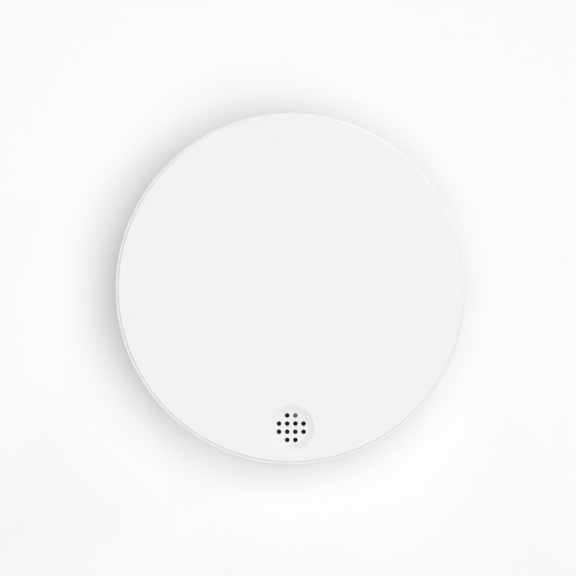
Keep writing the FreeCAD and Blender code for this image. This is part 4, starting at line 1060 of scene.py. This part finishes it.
def make_chips(tin, steel, epoxy):
    """Chip packages with the marks at their first pins, the processor's pads, and the crystal."""
    make_shield(steel, epoxy)
    for chip in ("radio", "processor", "amplifier"):
        dressed(f"{chip}_chip", epoxy, f"{chip}_package", 0.05)
    dressed("amplifier_leads", tin, "amplifier_pins", 0.03)
    marks = []
    for node, x, y in (("processor_chip", 0.9, -0.9), ("amplifier_chip", 0.8, 0.8)):
        low, high = box_of(node)
        corner = (low[0] + x, (low if y > 0 else high)[1] + y, high[2])
        marks.append(turned([(0.34, -0.02), (0.34, 0.003), (0.3, 0.006)], corner, count=24))
    dimple = glass_filled_nylon("polished_dimple", "3A3A3D", "444448")
    make_piece("pin_one_marks", joined(*marks), dimple)
    low, high = box_of("processor_chip")
    rows = np.array([(step, side * 3.5) for step in (np.arange(8) - 3.5) * 0.75 for side in (-1, 1)])
    middle = (low + high)[:2] / 2
    pads = [blocks_at(middle + rows, (0.32, 0.42, 0.22), BOARD_Z, 0.06, 0.03),
            blocks_at(middle + rows[:, ::-1], (0.42, 0.32, 0.22), BOARD_Z, 0.06, 0.03)]
    make_piece("processor_pads", joined(*pads), tin)
    low, high = box_of("crystal")
    ceramic = fired_ceramic("fired_alumina", "8B8578", "A09A8C")
    base = rounded_block(low, (high[0], high[1], low[2] + 0.35), 0.15, 0.05)
    make_piece("crystal_base", base, ceramic, replaces=("crystal",))
    lid = rounded_block(low + (0.16, 0.16, 0.3), high - (0.16, 0.16, 0), 0.3, 0.1)
    make_piece("crystal_lid", lid, steel)


def make_chip_parts(tin):
    """Two-terminal chips: ceramic body, and end caps that wrap it."""
    body = blocks_at(RESISTORS, (1.7, 1.22, 0.46), SEAT_Z, 0.05, 0.03)
    glaze = blocks_at(RESISTORS, (1.28, 1.12, 0.04), SEAT_Z + 0.455, 0.05, 0.02)
    caps = blocks_at(spread(RESISTORS, sides(0.8)), (0.4, 1.25, 0.49), SEAT_Z - 0.01, 0.06, 0.05, both=True)
    alumina = fired_ceramic("white_alumina", "D2D0C8", "E3E1DA")
    black = glass_filled_nylon("resistor_glaze", "17181B", "202226", 0.3)
    make_piece("resistor_bodies", body, alumina, replaces=("chip_resistors",))
    make_piece("resistor_glaze_tops", glaze, black)
    make_piece("resistor_caps", caps, tin)
    body = blocks_at(CERAMICS, (1.2, 0.78, 0.76), SEAT_Z, 0.06, 0.05)
    caps = blocks_at(spread(CERAMICS, sides(0.65)), (0.32, 0.8, 0.79), SEAT_Z - 0.01, 0.08, 0.07, both=True)
    tan = fired_ceramic("tan_dielectric", "A98A62", "BD9E74")
    make_piece("ceramic_bodies", body, tan, replaces=("chip_capacitors",))
    make_piece("ceramic_caps", caps, tin)


def make_capacitors(tin, aluminium):
    """Aluminium cans: groove near the foot, rounded top with a three-way vent score drawn as darker strips of
    painted shade, dark half-moon mark.
    """
    low, high = box_of("capacitor_cans")
    bottom, top = low[2], high[2]
    r = CAN_RADIUS
    profile = [(r, bottom), (r, bottom + 0.35), (r - 0.05, bottom + 0.45), (r - 0.22, bottom + 0.62),
               (r - 0.22, bottom + 0.78), (r - 0.05, bottom + 0.95), (r, bottom + 1.05), (r, top - 0.35),
               (r - 0.1, top - 0.1), (r - 0.35, top), (r - 0.6, top), (r - 0.75, top - 0.06),
               (0.5, top - 0.06)]
    shells = repeated(turned(profile, count=64), CANS)
    make_piece("capacitor_shells", shells, aluminium, replaces=("capacitor_cans",))
    groove = ribbon([(0, 0), (1.35, 0)], 0.12, top - 0.065, top - 0.052)
    score = joined(*[spun(groove, degrees) for degrees in (90, 210, 330)])
    # painted shade: the score's groove is drawn as a raised strip of darker, rougher aluminium
    painted_score_shade = drawn_wire("aluminium_painted_score_shade", "8D8F92", 0.5)
    make_piece("vent_score_painted_shade", repeated(score, CANS), painted_score_shade)
    rings = np.empty((2, 24, 3))
    rings[..., :2] = 1.72 * ways(np.radians(np.linspace(118, 242, 24)))
    rings[0, :, 2], rings[1, :, 2] = top - 0.07, top - 0.045
    black = glass_filled_nylon("printed_black", "1D1D20", "26262A")
    make_piece("capacitor_marks", repeated(skin(rings), CANS), black)
    foot = glass_filled_nylon("black_foot_resin", "202022", "2B2B2E")
    dressed("capacitor_feet", foot, "capacitor_bases", 0.08)
    tabs = blocks_at(spread(CANS, sides(2.95)), (0.75, 0.65, 0.18), SEAT_Z, 0.05, 0.04)
    make_piece("capacitor_tabs", tabs, tin)


# Switches

def test_plate(top):
    """Steel plate round the button. Its inner edge is a circle, its outer one a square with cut corners:
    half its side over the greater of |cos| and |sin|, but at most 1.27 times that half."""
    half = 2.75
    way = ways(turn_angles(48))
    outer = np.minimum(half / np.abs(way).max(axis=1), half * 1.27)[:, None]
    rings = np.empty((4, 48, 3))
    rings[:2, :, :2] = outer * way + TEST_SWITCH
    rings[2:, :, :2] = 1.95 * way + TEST_SWITCH
    rings[[0, 3], :, 2] = top - 0.02
    rings[[1, 2], :, 2] = top + 0.12
    return skin(rings, True)


def make_switches(tin, steel, ink):
    """Test, tamper and setting switches."""
    black = glass_filled_nylon("black_switch_nylon", "1E1E20", "29292C")
    white = glass_filled_nylon("white_slider_resin", "E4E4DF", "EEEEEA")
    dressed("test_switch_body", black, "test_switch_case", 0.1)
    top = box_of("test_switch_body")[1][2]
    make_piece("test_switch_plate", test_plate(top), steel)
    rivet = turned([(0.38, top + 0.1), (0.38, top + 0.2), (0.2, top + 0.27)], count=20)
    rivets = repeated(rivet, spread([TEST_SWITCH], corners(2.2, 2.2)))
    make_piece("test_switch_rivets", rivets, black)
    dressed("test_button", black, "test_button_cap")
    legs = [leg_form(x + side * reach, y + row, side, width)
            for (x, y), reach, width in ((TEST_SWITCH, 3.0, 0.7), (TAMPER_PLACE, 3.5, 0.8))
            for side in (-1, 1) for row in (-2.25, 2.25)]
    make_piece("switch_legs", joined(*legs), tin)
    dressed("tamper_switch_body", black, "tamper_switch_case", 0.12)
    top = box_of("tamper_switch_body")[1][2]
    collar = rings_at([TAMPER_PLACE], 1.5, 0.9, top - 0.02, 0.04, 48)
    make_piece("tamper_switch_collar", collar, steel)
    dressed("tamper_plunger", white, "tamper_plunger_moulding")
    make_setting_switch(tin, white, ink)


def leg_form(x, y, side, width):
    """Bent leg: flat strip that comes out of the body, drops and lies on its pad. Its faces lie 0.1 mm to
    each side of a line, square to the line's way."""
    run = np.array([(0.0, 1.1), (0.3, 1.1), (0.42, 0.98), (0.42, 0.22), (0.54, 0.1), (1.0, 0.1)])
    ahead = np.gradient(run, axis=0)
    ahead /= np.linalg.norm(ahead, axis=1, keepdims=True)
    out = np.stack([-ahead[:, 1], ahead[:, 0]], 1) * 0.1
    rings = np.empty((len(run), 4, 3))
    for corner, (s, w) in enumerate(((1, -1), (1, 1), (-1, 1), (-1, -1))):
        rings[:, corner, 0] = x + side * (run[:, 0] + s * out[:, 0])
        rings[:, corner, 1] = y + w * width / 2
        rings[:, corner, 2] = SEAT_Z + run[:, 1] + s * out[:, 1]
    return skin(rings)


def make_setting_switch(tin, white, ink):
    """Red case with printed numbers, four sliders and eight legs."""
    red = glass_filled_nylon("red_switch_resin", "8E1E1B", "9C2622")
    dressed("setting_switch_body", red, "setting_switch_case", 0.06)
    level = box_of("setting_switch_body")[1][2] - 0.002
    x, y = SETTING_SWITCH
    marks = [letters(str(number), 1.5, (at[0], y - 2.55), level, INK) for number, at in enumerate(SLIDERS, 1)]
    marks.append(letters("ON", 1.15, (x - 4.45, y + 2.68), level, INK))
    make_piece("setting_switch_print", joined(*marks), ink)
    for number in range(1, 5):
        dressed(f"setting_slider_{number}", white, f"setting_slider_cap_{number}", 0.04)
    leg = leg_form(0, 0, 1, 0.6)
    legs = [repeated(spun(leg, 90 * side), spread(SLIDERS, [(0, side * 3.3)])) for side in (-1, 1)]
    make_piece("setting_switch_legs", joined(*legs), tin)


# Scene

def make_camera():
    """Square on from the front, from far away through a long lens, as the photo has no perspective."""
    data = bpy.data.cameras.new("camera")
    data.sensor_width = SENSOR_WIDTH
    data.lens = SENSOR_WIDTH * (CAMERA_DISTANCE - FACE_Z) / PICTURE_WIDTH
    data.clip_start = 1.0
    data.clip_end = 30.0
    camera = new_object("camera", data)
    camera.location = (CAMERA_X * MM, CAMERA_Y * MM, CAMERA_DISTANCE * MM)
    bpy.context.scene.camera = camera


def make_floor(colour):
    """Wall behind the sensor. It isn't part of the object."""
    half = FLOOR_SIZE / 2 * MM
    mesh = bpy.data.meshes.new("wall")
    mesh.from_pydata([(x, y, 0) for x, y in corners(half, half)], [], [(0, 2, 3, 1)])
    mesh.materials.append(painted_wall(colour))
    new_object("wall", mesh)


def make_light(name, azimuth, elevation, width, strength):
    """Soft distant light: azimuth, from +X towards +Y, elevation and the width it is seen at, in degrees."""
    a, e = math.radians(azimuth), math.radians(elevation)
    data = bpy.data.lights.new(name, "SUN")
    data.angle = math.radians(width)
    data.energy = strength
    light = new_object(name, data)
    way = Vector((math.cos(a) * math.cos(e), math.sin(a) * math.cos(e), math.sin(e)))
    light.rotation_mode = "QUATERNION"
    light.rotation_quaternion = way.to_track_quat("Z", "Y")


def make_world(strength, backdrop):
    """Faint even light from all round, behind which the camera sees a pale backdrop."""
    world = bpy.data.worlds.new("studio")
    world.use_nodes = True
    tree = world.node_tree
    around = tree.nodes["Background"]
    around.inputs["Color"].default_value = (1, 1, 1, 1)
    around.inputs["Strength"].default_value = strength
    paper = add_node(world, "ShaderNodeBackground", {"Color": linear(backdrop)}, "Background")
    seen = add_node(world, "ShaderNodeLightPath", {}, "Is Camera Ray")
    choice = add_node(world, "ShaderNodeMixShader", {"Fac": seen, 1: around.outputs["Background"], 2: paper},
                      "Shader")
    tree.links.new(choice, tree.nodes["World Output"].inputs["Surface"])
    bpy.context.scene.world = world


def make_studio():
    """Soft light from overhead and from steep lights round it, four weaker ones at 40 degrees, mostly at the
    left, and three low ones that brighten the rim's upper right."""
    bpy.context.scene.view_settings.view_transform = "Standard"
    make_camera()
    make_floor("F4F4F4")
    make_world(0.04, "F8F8F8")
    for number, (azimuth, elevation, width, share) in enumerate(LIGHTS, 1):
        strength = share * FLOOR_LIGHT / math.sin(math.radians(elevation))
        make_light(f"light_{number}", azimuth, elevation, width, strength)


def main():
    """Materials that several pieces share, then the pieces and the studio."""
    tin = tin_plate("tin_plated_lead", "A1A3A6")
    shield_tin = tin_plate("tin_plated_shield", "9EA1A4")
    melted = solder()
    nickel = nickel_plate()
    aluminium = drawn_aluminium()
    ink = printed_ink()
    epoxy = moulded_epoxy()
    make_case()
    make_acoustic_mesh()
    make_gasket()
    make_microphone(tin, melted, aluminium)
    make_lamp(tin)
    make_cell(nickel, ink)
    dressed("positive_contact", nickel, "positive_contact_strip", 0.06)
    dressed("negative_contact", nickel, "negative_contact_strip", 0.06)
    make_coils()
    make_board(tin, melted, ink, epoxy)
    make_chips(tin, shield_tin, epoxy)
    make_chip_parts(tin)
    make_capacitors(tin, aluminium)
    make_switches(tin, shield_tin, ink)
    make_studio()


main()
